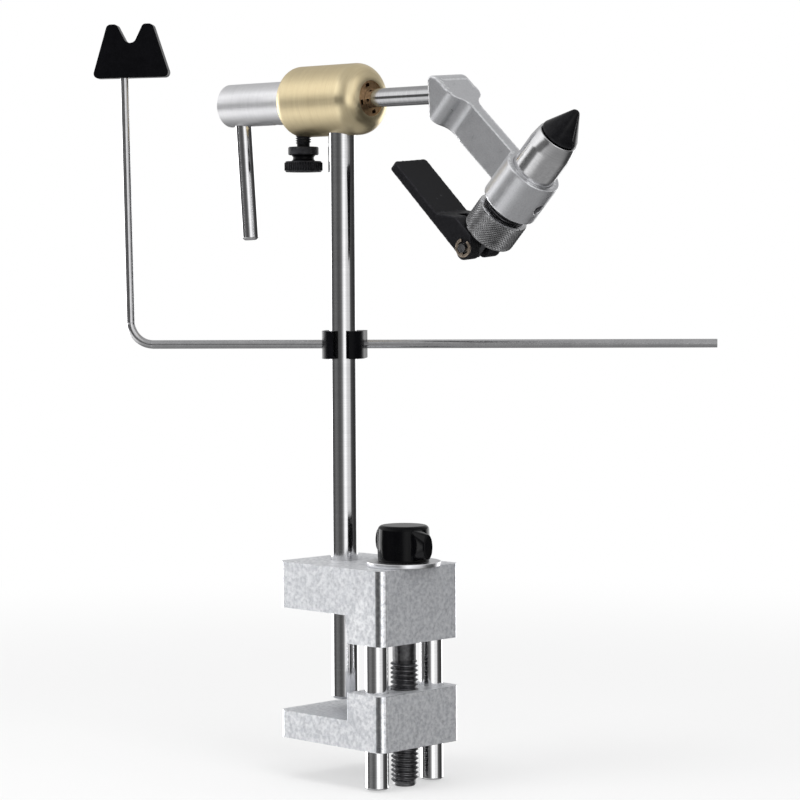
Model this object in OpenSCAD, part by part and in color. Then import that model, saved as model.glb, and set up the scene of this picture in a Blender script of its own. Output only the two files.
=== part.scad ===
// Fly tying vise: a table clamp, an upright stem, a rotary head, a jaw and a material rest.
// The origin is on the stem's axis, in the plane of the upper clamp arm's underside.
// +Z is up and +X runs off the table. Lengths are in millimetres, angles in degrees.

/* [Clamp] */
// Width of both clamp jaws
clamp_w = 38.1; // [34:0.1:46]
// From the stem's axis to the tips of the arms
arm_tip = 13.6; // [11:0.1:20]
// From the stem's axis to the back wall of the throat
throat_d = 20.8; // [18:0.1:32]
// Depth of the thick block behind the throat
post_d = 16.6; // [15:0.1:22]
// Thickness of the upper arm
upper_arm_h = 15.9; // [14:0.1:22]
// Thickness of the lower arm
lower_arm_h = 9.5; // [8:0.1:14]
// Height of the step under the upper jaw
upper_lip = 9.5; // [6:0.1:14]
// Height of the step on the lower jaw
lower_lip = 9.6; // [6:0.1:14]
// Gap between the two steps as the clamp stands
jaw_gap = 16.6; // [14:0.1:24]
// Radius of the upright corners
corner_r = 3.2; // [1:0.1:6]
// Diameter of the guide rods
guide_d = 7.94; // [5:0.01:8.5]
// Distance between the guide rods
guide_spread = 26.2; // [22:0.1:28]
// How far the guide rods stand out under the lower jaw
guide_drop = 13.4; // [12:0.1:30]

/* [Clamp screw] */
// Outer diameter of the clamp screw's thread
screw_d = 9.4; // [8.5:0.01:11]
// Diameter of the clamp screw's plain shank
shank_d = 8; // [5:0.01:8.2]
// Pitch of the clamp screw
screw_pitch = 1.5875; // [1:0.0001:2]
// Plain length that shows under the upper jaw
shank_show = 5.8; // [3:0.1:8]
// How far the screw stands out under the lower jaw
screw_drop = 13.9; // [12:0.1:30]
// Diameter of the knob's hub
knob_d = 18; // [16:0.1:24]
// Height of the knob's hub
knob_h = 12.2; // [11:0.1:18]
// Reach of each knob wing from the screw's axis
wing_reach = 15.7; // [13:0.1:28]
// Direction in which the near wing points
wing_turn = -13; // [-60:1:60]
// Diameter of the washer
washer_d = 25.4; // [20:0.1:28]
// Thickness of the washer
washer_h = 1.6; // [1:0.1:3]

/* [Stem] */
// Diameter of the stem
stem_d = 9.525; // [8:0.001:11]
// How far the stem reaches below the upper arm
stem_drop = 32.4; // [20:0.1:33]
// Height of the rotary axis over the origin
axis_z = 174.6; // [140:0.1:220]
// Turn of the whole head on the stem
head_turn = 5; // [-20:0.5:20]
// Diameter of the screw that locks the stem
stem_screw_d = 6; // [4:0.1:8]

/* [Head] */
// Diameter of the brass housing
housing_d = 24.5; // [23:0.1:34]
// From the stem's axis to the housing's front face
housing_front = 13.4; // [10.5:0.1:18]
// From the stem's axis to the housing's rear face
housing_rear = 21.9; // [21:0.1:32]
// Radius of the housing's front edge
front_r = 6; // [1:0.1:6.2]
// Diameter of the rotary shaft
shaft_d = 6.35; // [5:0.01:7]
// Diameter of the front bush
bush_d = 12.2; // [11:0.1:12.6]
// Outer diameter of the rear bush
sleeve_bush_d = 9.5; // [8.5:0.1:10.4]
// From the stem's axis back to the drag screw
drag_back = 18; // [16.5:0.1:18.4]
// Diameter of the drag screw's thread
drag_d = 5.4; // [4.6:0.1:6]
// Diameter of the drag screw's knurled head
drag_head_d = 13.3; // [10:0.1:18]
// Turn of the rotor about its axis as the vise stands
rotor_turn = 4.5; // [-10:0.5:10]
// Diameter of the rear hub
hub_d = 15.1; // [13:0.1:20]
// From the stem's axis to the rear hub's far end
hub_end = 52.9; // [49:0.1:66]
// Diameter of the crank handle
handle_d = 6.2; // [4:0.1:7]
// From the rotary axis to the crank handle's end
handle_reach = 47.8; // [30:0.1:60]

/* [Jaw arm] */
// Length of the flat on top of the arm's block
block_flat = 3.5; // [3.2:0.1:8]
// Height of the arm's flat top over the rotary axis
block_top = 6.3; // [5:0.1:7.2]
// Thickness of the arm's block
block_w = 16.2; // [12:0.1:18]
// Thickness of the arm's strap
strap_w = 4.6; // [3:0.1:7]
// Slope of the jaw above level
jaw_angle = 45; // [42:0.5:50]
// From the stem's axis to the middle of the jaw sleeve
sleeve_out = 76.1; // [71:0.1:84]
// From the rotary axis down to the middle of the jaw sleeve
sleeve_down = 31.8; // [30:0.1:38]
// Outer diameter of the jaw sleeve
sleeve_d = 19.6; // [18:0.1:24]
// Length of the jaw sleeve
sleeve_l = 14.9; // [14:0.1:20]
// Width of the strap along the jaw
strap_h = 12.6; // [11.5:0.1:14]

/* [Jaw] */
// Diameter of the jaw body
body_d = 15.2; // [14:0.1:16.4]
// Length of the jaw body past the sleeve
body_show = 15.3; // [13:0.1:20]
// Length of the two half jaws' cone
cone_l = 11; // [8:0.1:16]
// Diameter of the cone's base
cone_d = 12.8; // [12.2:0.1:13.2]
// Diameter of the cone's tip
tip_d = 3.4; // [1:0.1:4]
// Diameter of the adjusting knob
adjuster_d = 18.2; // [17:0.1:22]
// Length of the adjusting knob
adjuster_l = 10.9; // [8:0.1:13]
// Thread that shows between the sleeve and the adjusting knob
neck_show = 3.3; // [1:0.1:4]
// Diameter of the draw rod
draw_d = 4.4; // [3.6:0.1:4.6]
// Width of the cam lever
lever_w = 16.6; // [13:0.1:18]
// Thickness of the cam lever
lever_h = 3.2; // [2.8:0.1:5]
// Length of the cam lever from its pin
lever_l = 40.5; // [30:0.1:46]
// Lean of the lever's bar off square
lever_lean = 1.4; // [0:0.1:4]
// Diameter of the lever's pin
pin_d = 3; // [2.2:0.1:3.2]

/* [Material rest] */
// Height of the rest's rod over the origin
rest_z = 90.4; // [60:0.1:110]
// Direction of the rod, from +X towards +Y
rest_turn = 40; // [30:0.5:42]
// Diameter of the rod
rest_d = 3; // [2:0.1:3.6]
// From the stem to the rod's bend
rest_back = 75.7; // [70:0.1:90]
// From the stem to the rod's free end
rest_out = 128.6; // [80:0.1:150]
// Height of the upright part up to the head
rest_up = 93.1; // [80:0.1:110]
// Outward lean of the upright part
rest_lean = 0.9; // [0:0.1:3]
// Width of the notched head
rest_head_w = 27.5; // [20:0.1:30]
// Height of the notched head
rest_head_h = 18.6; // [14:0.1:26]
// Thickness of the notched head
rest_head_t = 4.8; // [4:0.1:5]
// Height of the clip
clip_h = 9.6; // [7:0.1:16]
// Wall of the clip round the stem
clip_wall = 2.6; // [2:0.1:4]

/* [Fits] */
// Clearance of a running fit on the radius
run_fit = 0.05; // [0.02:0.01:0.08]
// Clearance of a fixed fit on the radius
set_fit = 0.01; // [0.01:0.005:0.03]
// Gap between faces that meet
face_gap = 0.05; // [0.02:0.01:0.1]
// Gap between bodies that pass each other
body_gap = 0.3; // [0.2:0.05:0.4]

/* [Hidden] */
$fn = 96;
// How far a cut runs past the faces it opens
overrun = 1;
// Share of a screw's diameter that its hex socket spans, and of its length that it is deep
socket_share = 0.5;
socket_deep_share = 0.5;
// Small chamfer on turned ends
end_chamfer = 0.5;
// How far the straight parts of a bent rod run over its bend, and how much thinner the bend is
bend_lap = 0.2;
bend_thin = 0.02;

// Clamp places
post_x = throat_d + post_d / 2;
clamp_out = throat_d + post_d;
lower_lip_z = -upper_lip - jaw_gap;
lower_arm_z = lower_lip_z - lower_lip;
lower_base_z = lower_arm_z - lower_arm_h;
guide_cover = 4.9;
guide_top_z = upper_arm_h - guide_cover;
screw_end_z = lower_base_z - screw_drop;
thread_turns = floor((-upper_lip - shank_show - screw_end_z - end_chamfer) / screw_pitch);
thread_top_z = screw_end_z + end_chamfer + thread_turns * screw_pitch;
thread_depth = 0.85;
screw_clear = 0.1;
washer_clear = 0.3;

// Clamp knob
knob_z = upper_arm_h + washer_h + 2 * face_gap;
knob_round = 1.6;
knob_draft = 0.25;
knob_cover = 2.6;
wing_root_t = 5;
wing_end_t = 3.6;
wing_root_h = 10.4;
wing_end_h = 8.4;
wing_lift = 0.9;
wing_end_lift = 1.7;
wing_face_t = 0.4;
knob_top_z = knob_z + knob_h;

// Stem and its lock
stem_sink = 5.6;
stem_top_z = axis_z - stem_sink;
stem_chamfer = 0.8;
stem_screw_recess = 0.8;
stem_screw_z = upper_arm_h / 2;

// Head places
front_bush_t = 2.6;
front_bush_in = 0.2;
friction_t = 1.2;
friction_bore_gap = 0.3;
counterbore = front_bush_in + front_bush_t + friction_t + 2 * face_gap;
rear_edge_r = 4.5;
rear_bush_front = 6;
spanner_slots = 4;
slot_turn = 20;
slot_w = 1.8;
slot_in = 0.9;
slot_out = 0.8;
drag_show = 3.3;
drag_collar_d = 10.6;
drag_collar_h = 2.8;
drag_neck_d = 7.3;
drag_neck_h = 2.2;
drag_head_h = 3.7;
drag_pitch = 0.8;
drag_core_d = 4.5;
pad_d = 3.8;
pad_t = 2;
pad_gap = 0.1;
pad_z = -shaft_d / 2 - pad_gap - pad_t;
drag_low_z = -housing_d / 2;

// Rotor places
hub_gap = 0.4;
hub_front = housing_rear + hub_gap;
handle_in = 5.7;
handle_top = 3;
shaft_short = 1.2;
handle_back = hub_end - handle_in;
shaft_rear = handle_back - handle_d / 2 - shaft_short;
hub_screw_back = 30.6;
hub_screw_d = 4;
screw_recess = 0.8;
bore_spare = 0.2;

// Jaw arm
strap_top = sleeve_l / 2;
block_meet = sleeve_out
    + (strap_top - (block_top + sleeve_down) * sin(jaw_angle)) / cos(jaw_angle);
block_rear = block_meet - block_flat;
shaft_cover = 5.2;
shaft_front = block_rear + shaft_cover;
strap_low = strap_top - strap_h;
blend_start = -30.5;
blend_run = 9;
block_step = (block_w - strap_w) / 2;
blend_turn = 2 * atan(block_step / blend_run);
blend_r = blend_run / 2 / sin(blend_turn);
block_corner_r = 1.8;
block_shoulder_r = 4;
block_reach = 56;
arm_screw_d = 3;
arm_screw_in = 2.7;
arm_screw_out = block_rear + arm_screw_in;
jaw_screw_d = 4;
jaw_screw_turn = 3;
jaw_screw_low = 1;
jaw_screw_recess = 1.1;

// Jaw
sleeve_half = sleeve_l / 2;
body_front = sleeve_half + body_show;
taper_l = 5.1;
body_nose_d = 13.8;
mouth_d = 11.8;
mouth_l = 9.3;
chamber_d = 9.2;
chamber_rear = -6.6;
neck_d = 14.4;
neck_pitch = 1;
neck_depth = 0.5;
neck_clear = 0.1;
adjuster_front = -sleeve_half - neck_show;
adjuster_rear = adjuster_front - adjuster_l;
adjuster_floor = 1.8;
adjuster_chamfer = 0.7;
neck_end = adjuster_rear + adjuster_floor + body_gap;
rod_clear = 0.3;
cone_gap = 0.3;
cone_rim = 1;
slit = 0.3;
tail_d = 10.4;
tail_rear = body_front - mouth_l + 1.6;
collar_d = 8.6;
collar_l = 3.5;
draw_front = tail_rear - face_gap;

// Cam lever, round its pin
cam_reach = 5.2;
pin_t = adjuster_rear - cam_reach;
ear_r = 2.8;
ear_past = 0.6;
ear_drop = 1.2;
ear_start = -130;
bar_low = 3.2;
nose_in = -0.8;
nose_out = -9.5;
nose_foot = -16;
lever_top = lever_h - bar_low;
fork_in = -12.5;
fork_w = draw_d + 0.6;
lever_corner_r = 1.2;
rod_tail = 3.6;
clip_r = 3.1;
clip_t = 0.6;
clip_groove_r = 1.1;
clip_slot = 1.6;
pin_past = 0.7;
clip_y = lever_w / 2 + face_gap;

// Return spring
spring_wire = 0.9;
spring_curls = 7;
spring_d = 6.8;
spring_rings = 8;
spring_sides = 6;
spring_rear = chamber_rear + face_gap + spring_wire / 2;
spring_front = draw_front - collar_l - face_gap - spring_wire / 2;

// Material rest
rod_wall = 0.5;
rod_y = stem_d / 2 + run_fit + rod_wall + rest_d / 2;
clip_boss = 1.6;
clip_mouth_share = 0.58;
clip_r_out = stem_d / 2 + clip_wall;
bend_r = 8;
head_sink = 9;
head_off = 2.7;
// Outline of the notched head in shares of its width and height, and its corner radii in shares
// of the height
head_shares = [[-0.5, 0], [-0.29, 1], [-0.17, 1], [0, 0.5], [0.17, 1], [0.29, 1], [0.5, 0]];
head_round_shares = [0.09, 0.09, 0.08, 0.12, 0.08, 0.09, 0.09];

// Points of an arc round c from angle a to angle b
function arc(c, r, a, b, n = 8) =
    [for (i = [0:n]) c + r * [cos(a + (b - a) * i / n), sin(a + (b - a) * i / n)]];

function unit(v) = v / norm(v);

// Points that round the corner b, between its neighbours a and c, to the radius r
function round_corner(a, b, c, r, n = 8) =
    let (u = unit(a - b), w = unit(c - b), half = acos(u * w) / 2,
        o = b + unit(u + w) * r / sin(half), s = b + u * r / tan(half) - o,
        e = b + w * r / tan(half) - o)
    [for (i = [0:n]) o + r * unit(s * (n - i) + e * i)];

// An outline whose corners are rounded, each to its own radius
function rounded(p, radii) =
    let (n = len(p))
    [for (i = [0:n - 1])
        each radii[i] == 0 ? [p[i]]
            : round_corner(p[(i + n - 1) % n], p[i], p[(i + 1) % n], radii[i])];

// Thread ridges as profile points, going down from z
function ridges(r, depth, z, pitch, count) =
    [for (i = [0:count - 1]) each [[r - depth, z - i * pitch], [r, z - (i + 0.5) * pitch]]];

module turned(points) {
    rotate_extrude() polygon(points);
}

// A turned pin along Z, from z = low to z = high, with both ends chamfered
module pin(d, low, high, chamfer = end_chamfer) {
    r = d / 2;
    turned([[0, low], [r - chamfer, low], [r, low + chamfer], [r, high - chamfer],
        [r - chamfer, high], [0, high]]);
}

// A socket set screw along Z, its socket at the top
module set_screw(d, l) {
    difference() {
        pin(d, 0, l);
        translate([0, 0, l * (1 - socket_deep_share)])
            cylinder(d = d * socket_share / cos(30), h = l, $fn = 6);
    }
}

module along_x() {
    rotate([0, 90, 0]) children();
}

// Frames that carry the pieces

module post_frame() {
    translate([post_x, 0, 0]) children();
}

module head_frame() {
    translate([0, 0, axis_z]) rotate([0, 0, head_turn]) children();
}

module drag_frame() {
    head_frame() translate([-drag_back, 0, 0]) children();
}

module rotor_frame() {
    head_frame() rotate([rotor_turn, 0, 0]) children();
}

// Z along the jaw towards its tip, X along the strap towards the sleeve's far side
module jaw_frame() {
    translate([sleeve_out, 0, -sleeve_down]) rotate([0, 90 - jaw_angle, 0]) children();
}

// Z runs out through the sleeve's wall
module jaw_screw_frame() {
    jaw_frame() translate([0, 0, -jaw_screw_low]) rotate([0, 0, jaw_screw_turn]) along_x() children();
}

module lever_frame() {
    rotor_frame() jaw_frame() translate([0, 0, pin_t]) children();
}

module rest_frame() {
    translate([0, 0, rest_z]) rotate([0, 0, rest_turn]) children();
}

// Clamp

module clamp_plan() {
    x0 = -arm_tip;
    half = clamp_w / 2;
    polygon([[x0 + corner_r, -half], [clamp_out - corner_r, -half], [clamp_out, corner_r - half],
        [clamp_out, half - corner_r], [clamp_out - corner_r, half], [x0 + corner_r, half],
        [x0, half - corner_r], [x0, corner_r - half]]);
    for (x = [x0 + corner_r, clamp_out - corner_r], y = [-1, 1])
        translate([x, y * (half - corner_r)]) circle(r = corner_r);
}

module post_plan() {
    intersection() {
        clamp_plan();
        translate([throat_d, -clamp_w]) square([post_d, 2 * clamp_w]);
    }
}

module guide_places() {
    for (side = [-1, 1]) translate([post_x, side * guide_spread / 2, 0]) children();
}

module upper_jaw() {
    color("silver") difference() {
        union() {
            linear_extrude(upper_arm_h) clamp_plan();
            translate([0, 0, -upper_lip]) linear_extrude(upper_lip + overrun) post_plan();
        }
        translate([0, 0, -overrun])
            cylinder(r = stem_d / 2 + run_fit, h = upper_arm_h + 2 * overrun);
        guide_places() translate([0, 0, -upper_lip - overrun])
            cylinder(r = guide_d / 2 + set_fit, h = guide_top_z + upper_lip + overrun);
        post_frame() translate([0, 0, -upper_lip - overrun])
            cylinder(r = shank_d / 2 + screw_clear, h = upper_arm_h + upper_lip + 2 * overrun);
        translate([-arm_tip - overrun, 0, stem_screw_z]) along_x()
            cylinder(r = stem_screw_d / 2 + set_fit, h = arm_tip + overrun);
    }
}

module lower_jaw() {
    color("silver") difference() {
        union() {
            translate([0, 0, lower_base_z]) linear_extrude(lower_arm_h) clamp_plan();
            translate([0, 0, lower_arm_z - overrun])
                linear_extrude(lower_lip + overrun) post_plan();
        }
        guide_places() translate([0, 0, lower_base_z - overrun])
            cylinder(r = guide_d / 2 + run_fit, h = lower_arm_h + lower_lip + 2 * overrun);
        post_frame() translate([0, 0, lower_base_z - overrun])
            cylinder(r = screw_d / 2 + screw_clear, h = lower_arm_h + lower_lip + 2 * overrun);
    }
}

module guide_rods() {
    color("gainsboro") guide_places() pin(guide_d, lower_base_z - guide_drop, guide_top_z - face_gap);
}

module clamp_screw() {
    r = screw_d / 2;
    core = r - thread_depth;
    top_z = knob_top_z - knob_cover - face_gap;
    color("dimgray") post_frame() turned(concat(
        [[0, top_z], [shank_d / 2, top_z], [shank_d / 2, thread_top_z]],
        ridges(r, thread_depth, thread_top_z, screw_pitch, thread_turns),
        [[core, screw_end_z + end_chamfer], [core - end_chamfer, screw_end_z], [0, screw_end_z]]));
}

// One wing reaches out each way; both thin and fall off towards an oval end
module clamp_knob() {
    r = knob_d / 2;
    mid = knob_h / 2;
    color("black") post_frame() translate([0, 0, knob_z]) rotate([0, 0, wing_turn])
        difference() {
            union() {
                turned(concat([[0, 0], [r - knob_draft, 0], [r, mid]],
                    arc([r - knob_draft - knob_round, knob_h - knob_round], knob_round, 0, 90),
                    [[0, knob_h]]));
                for (side = [0, 180]) rotate([0, 0, side]) hull() {
                    translate([r / 2, 0, wing_lift])
                        cylinder(d = wing_root_t, h = wing_root_h, $fn = 32);
                    translate([wing_reach - wing_face_t, 0, wing_end_lift + wing_end_h / 2])
                        rotate([0, 90, 0]) scale([wing_end_h / wing_end_t, 1, 1])
                            cylinder(d = wing_end_t, h = wing_face_t, $fn = 32);
                }
            }
            translate([0, 0, -overrun])
                cylinder(r = shank_d / 2 + set_fit, h = knob_h - knob_cover + overrun);
        }
}

module thrust_washer() {
    color("gainsboro") post_frame() translate([0, 0, upper_arm_h + face_gap]) difference() {
        cylinder(d = washer_d, h = washer_h);
        translate([0, 0, -overrun])
            cylinder(r = shank_d / 2 + washer_clear, h = washer_h + 2 * overrun);
    }
}

module stem_set_screw() {
    tip = stem_d / 2 + face_gap;
    color("dimgray") translate([-tip, 0, stem_screw_z]) rotate([0, -90, 0])
        set_screw(stem_screw_d, arm_tip - tip - stem_screw_recess);
}

module stem() {
    color("gainsboro") pin(stem_d, -stem_drop, stem_top_z, stem_chamfer);
}

// Head

module head_housing() {
    r = housing_d / 2;
    color("darkkhaki") head_frame() difference() {
        along_x() turned(concat([[0, -housing_rear]],
            arc([r - rear_edge_r, rear_edge_r - housing_rear], rear_edge_r, -90, 0, 12),
            arc([r - front_r, housing_front - front_r], front_r, 0, 90, 16),
            [[0, housing_front]]));
        translate([-housing_rear - overrun, 0, 0]) along_x()
            cylinder(r = sleeve_bush_d / 2 + set_fit, h = housing_rear + housing_front + 2 * overrun);
        translate([housing_front - counterbore, 0, 0]) along_x()
            cylinder(r = bush_d / 2 + set_fit, h = counterbore + overrun);
        translate([0, 0, -r - overrun])
            cylinder(r = stem_d / 2 + run_fit, h = r + overrun - stem_sink + face_gap);
        translate([-drag_back, 0, -r - overrun]) cylinder(r = drag_d / 2 + run_fit, h = r + overrun);
    }
}

// The disc's slots are what a pin spanner turns
module front_bush() {
    r = bush_d / 2;
    shaft_r = shaft_d / 2 + run_fit;
    slot_l = r - slot_out - shaft_r - slot_in;
    color("darkgoldenrod") head_frame()
        translate([housing_front - front_bush_in - front_bush_t, 0, 0]) along_x() difference() {
            cylinder(r = r, h = front_bush_t);
            translate([0, 0, -overrun]) cylinder(r = shaft_r, h = front_bush_t + 2 * overrun);
            for (i = [0:spanner_slots - 1]) rotate([0, 0, slot_turn + i * 360 / spanner_slots])
                translate([shaft_r + slot_in, -slot_w / 2, -overrun])
                    cube([slot_l, slot_w, front_bush_t + 2 * overrun]);
        }
}

module rear_bush() {
    color("darkgoldenrod") head_frame() difference() {
        translate([-housing_rear, 0, 0]) along_x()
            cylinder(d = sleeve_bush_d, h = housing_rear + rear_bush_front);
        translate([-housing_rear - overrun, 0, 0]) along_x()
            cylinder(r = shaft_d / 2 + run_fit, h = housing_rear + rear_bush_front + 2 * overrun);
        translate([-drag_back, 0, -sleeve_bush_d])
            cylinder(r = drag_d / 2 + run_fit, h = sleeve_bush_d);
    }
}

module friction_washer() {
    front = housing_front - front_bush_in - front_bush_t - face_gap;
    color("firebrick") head_frame() translate([front - friction_t, 0, 0]) along_x() difference() {
        cylinder(r = bush_d / 2 - friction_bore_gap, h = friction_t);
        translate([0, 0, -overrun])
            cylinder(r = shaft_d / 2 + friction_bore_gap, h = friction_t + 2 * overrun);
    }
}

module drag_screw() {
    r = drag_d / 2;
    core = drag_core_d / 2;
    top_z = pad_z - face_gap;
    collar_z = drag_low_z - drag_show;
    neck_z = collar_z - drag_collar_h;
    head_z = neck_z - drag_neck_h;
    low_z = head_z - drag_head_h;
    count = floor((top_z - collar_z) / drag_pitch);
    color("black") drag_frame() turned(concat([[0, top_z]],
        ridges(r, r - core, top_z, drag_pitch, count),
        [[core, collar_z], [drag_collar_d / 2, collar_z], [drag_collar_d / 2, neck_z],
        [drag_neck_d / 2, neck_z], [drag_neck_d / 2, head_z],
        [drag_head_d / 2 - end_chamfer, head_z], [drag_head_d / 2, head_z - end_chamfer],
        [drag_head_d / 2, low_z + end_chamfer], [drag_head_d / 2 - end_chamfer, low_z],
        [0, low_z]]));
}

module drag_pad() {
    color("white") drag_frame() translate([0, 0, pad_z]) cylinder(d = pad_d, h = pad_t);
}

// Rotor

module rotary_shaft() {
    color("gainsboro") rotor_frame() along_x() pin(shaft_d, -shaft_rear, shaft_front);
}

module rear_hub() {
    r = hub_d / 2;
    color("silver") rotor_frame() difference() {
        along_x() pin(hub_d, -hub_end, -hub_front);
        translate([-shaft_rear - bore_spare, 0, 0]) along_x()
            cylinder(r = shaft_d / 2 + set_fit, h = shaft_rear + bore_spare);
        translate([-handle_back, 0, -r - overrun])
            cylinder(r = handle_d / 2 + set_fit, h = r + overrun + handle_top);
        translate([-hub_screw_back, 0, -r - overrun])
            cylinder(r = hub_screw_d / 2 + set_fit, h = r + overrun);
    }
}

module hub_set_screw() {
    tip = shaft_d / 2 + face_gap;
    color("dimgray") rotor_frame() translate([-hub_screw_back, 0, -tip]) rotate([180, 0, 0])
        set_screw(hub_screw_d, hub_d / 2 - tip - screw_recess);
}

module crank_handle() {
    color("gainsboro") rotor_frame() translate([-handle_back, 0, 0])
        pin(handle_d, -handle_reach, handle_top - face_gap, 2 * end_chamfer);
}

// The strap's section: thick at the block, thin at the sleeve, with a double bend on each side
module strap_section() {
    half = strap_w / 2;
    out = block_w / 2;
    foot = blend_start;
    head = blend_start - blend_run;
    side = concat(
        arc([foot, half + blend_r], blend_r, -90, -90 - blend_turn),
        arc([head, out - blend_r], blend_r, 90 - blend_turn, 90),
        [[-block_reach, out]]);
    polygon(concat([[0, half]], side, [[-block_reach, -out]],
        [for (i = [len(side) - 2:-1:0]) [side[i][0], -side[i][1]]], [[0, -half]]));
}

// What the arm may fill, seen from its side, in the rotor's X and Z
module arm_side() {
    c = cos(jaw_angle);
    s = sin(jaw_angle);
    reach = sleeve_out + sleeve_l;
    low = -2 * (sleeve_down + sleeve_l);
    polygon(rounded([[block_rear, low], [block_rear, block_top], [block_meet, block_top],
        [reach, block_top - (reach - block_meet) * c / s], [reach, low]],
        [0, block_corner_r, block_shoulder_r, 0, 0]));
}

module jaw_arm() {
    color("darkgray") rotor_frame() difference() {
        union() {
            intersection() {
                jaw_frame() translate([0, 0, strap_low]) linear_extrude(strap_h) strap_section();
                rotate([90, 0, 0]) linear_extrude(2 * block_w, center = true) arm_side();
            }
            jaw_frame() translate([0, 0, -sleeve_half]) cylinder(d = sleeve_d, h = sleeve_l);
        }
        jaw_frame() translate([0, 0, -sleeve_l]) cylinder(r = body_d / 2 + set_fit, h = 2 * sleeve_l);
        translate([block_rear - overrun, 0, 0]) along_x()
            cylinder(r = shaft_d / 2 + set_fit, h = shaft_front - block_rear + overrun + bore_spare);
        translate([arm_screw_out, 0, 0]) rotate([-90, 0, 0])
            cylinder(r = arm_screw_d / 2 + set_fit, h = block_w);
        jaw_screw_frame() cylinder(r = jaw_screw_d / 2 + set_fit, h = sleeve_d);
    }
}

module arm_set_screw() {
    tip = shaft_d / 2 + face_gap;
    color("dimgray") rotor_frame() translate([arm_screw_out, tip, 0]) rotate([-90, 0, 0])
        set_screw(arm_screw_d, block_w / 2 - tip - screw_recess);
}

module jaw_set_screw() {
    tip = body_d / 2 + face_gap;
    color("dimgray") rotor_frame() jaw_screw_frame() translate([0, 0, tip])
        set_screw(jaw_screw_d, sleeve_d / 2 - tip - jaw_screw_recess);
}

// Jaw

module jaw_body() {
    r = body_d / 2;
    nose_r = body_nose_d / 2;
    neck_r = neck_d / 2;
    bore_r = draw_d / 2 + rod_clear;
    count = floor((-sleeve_half - neck_end) / neck_pitch);
    neck_foot = -sleeve_half - count * neck_pitch;
    mouth_rear = body_front - mouth_l;
    color("lightgray") rotor_frame() jaw_frame() turned(concat(
        [[bore_r, neck_end], [neck_r - neck_depth, neck_end], [neck_r - neck_depth, neck_foot]],
        [for (i = [count - 1:-1:0]) each [
            [neck_r, -sleeve_half - (i + 0.5) * neck_pitch],
            [neck_r - neck_depth, -sleeve_half - i * neck_pitch]]],
        [[r, -sleeve_half], [r, body_front - taper_l], [nose_r, body_front],
        [mouth_d / 2, body_front], [mouth_d / 2, mouth_rear], [chamber_d / 2, mouth_rear],
        [chamber_d / 2, chamber_rear], [bore_r, chamber_rear]]));
}

// The half jaws are one turned cone and tail, parted by the slit
module half_jaw(side) {
    base = body_front + cone_gap;
    tip = base + cone_l;
    r = tip_d / 2;
    color("black") rotor_frame() jaw_frame() intersection() {
        turned(concat([[0, tail_rear], [tail_d / 2, tail_rear], [tail_d / 2, base], [cone_d / 2, base],
            [cone_d / 2, base + cone_rim]],
            arc([0, tip - r], r, 30, 90)));
        translate([-cone_d, side > 0 ? slit / 2 : -cone_d - slit / 2, tail_rear - overrun])
            cube([2 * cone_d, cone_d, mouth_l + cone_l + 2 * overrun]);
    }
}

module near_jaw() {
    half_jaw(-1);
}

module far_jaw() {
    half_jaw(1);
}

module draw_rod() {
    r = draw_d / 2;
    collar_rear = draw_front - collar_l;
    color("gainsboro") rotor_frame() jaw_frame() difference() {
        turned([[0, pin_t - rod_tail], [r - end_chamfer, pin_t - rod_tail],
            [r, pin_t - rod_tail + end_chamfer], [r, collar_rear], [collar_d / 2, collar_rear],
            [collar_d / 2, draw_front], [0, draw_front]]);
        translate([0, -draw_d, pin_t]) rotate([-90, 0, 0])
            cylinder(r = pin_d / 2 + set_fit, h = 2 * draw_d);
    }
}

// One tube of curls round the draw rod
module return_spring() {
    rings = spring_curls * spring_rings;
    rise = (spring_front - spring_rear) / rings;
    wire_r = spring_wire / 2;
    points = [for (i = [0:rings], k = [0:spring_sides - 1])
        let (turn = i * 360 / spring_rings, side = k * 360 / spring_sides,
            r = spring_d / 2 + wire_r * cos(side))
        [r * cos(turn), r * sin(turn), spring_rear + i * rise + wire_r * sin(side)]];
    walls = [for (i = [0:rings - 1], k = [0:spring_sides - 1])
        let (a = i * spring_sides + k, b = i * spring_sides + (k + 1) % spring_sides)
        each [[a, a + spring_sides, b], [b, a + spring_sides, b + spring_sides]]];
    caps = [for (k = [1:spring_sides - 2])
        each [[0, k, k + 1], [rings * spring_sides, rings * spring_sides + k + 1,
            rings * spring_sides + k]]];
    color("gray") rotor_frame() jaw_frame() polyhedron(points, concat(walls, caps));
}

module adjusting_knob() {
    r = adjuster_d / 2;
    c = adjuster_chamfer;
    floor_t = adjuster_rear + adjuster_floor;
    bore_r = draw_d / 2 + rod_clear;
    thread_r = neck_d / 2 + neck_clear;
    color("lightgray") rotor_frame() jaw_frame() turned([[bore_r, adjuster_rear],
        [r - c, adjuster_rear], [r, adjuster_rear + c], [r, adjuster_front - c],
        [r - c, adjuster_front], [thread_r, adjuster_front], [thread_r, floor_t],
        [bore_r, floor_t]]);
}

// The lever's side outline round its pin: X along the strap, Y along the jaw
module lever_side() {
    lift = tan(lever_lean);
    end_y = lever_l * lift;
    nose_y = cam_reach - face_gap;
    polygon(concat(
        [[-lever_l, lever_top + end_y], [-lever_l, end_y - bar_low]],
        arc([ear_past, -ear_drop], ear_r, ear_start, 40, 16),
        [[nose_in, nose_y], [nose_out, nose_y], [nose_foot, lever_top - nose_foot * lift]]));
}

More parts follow.
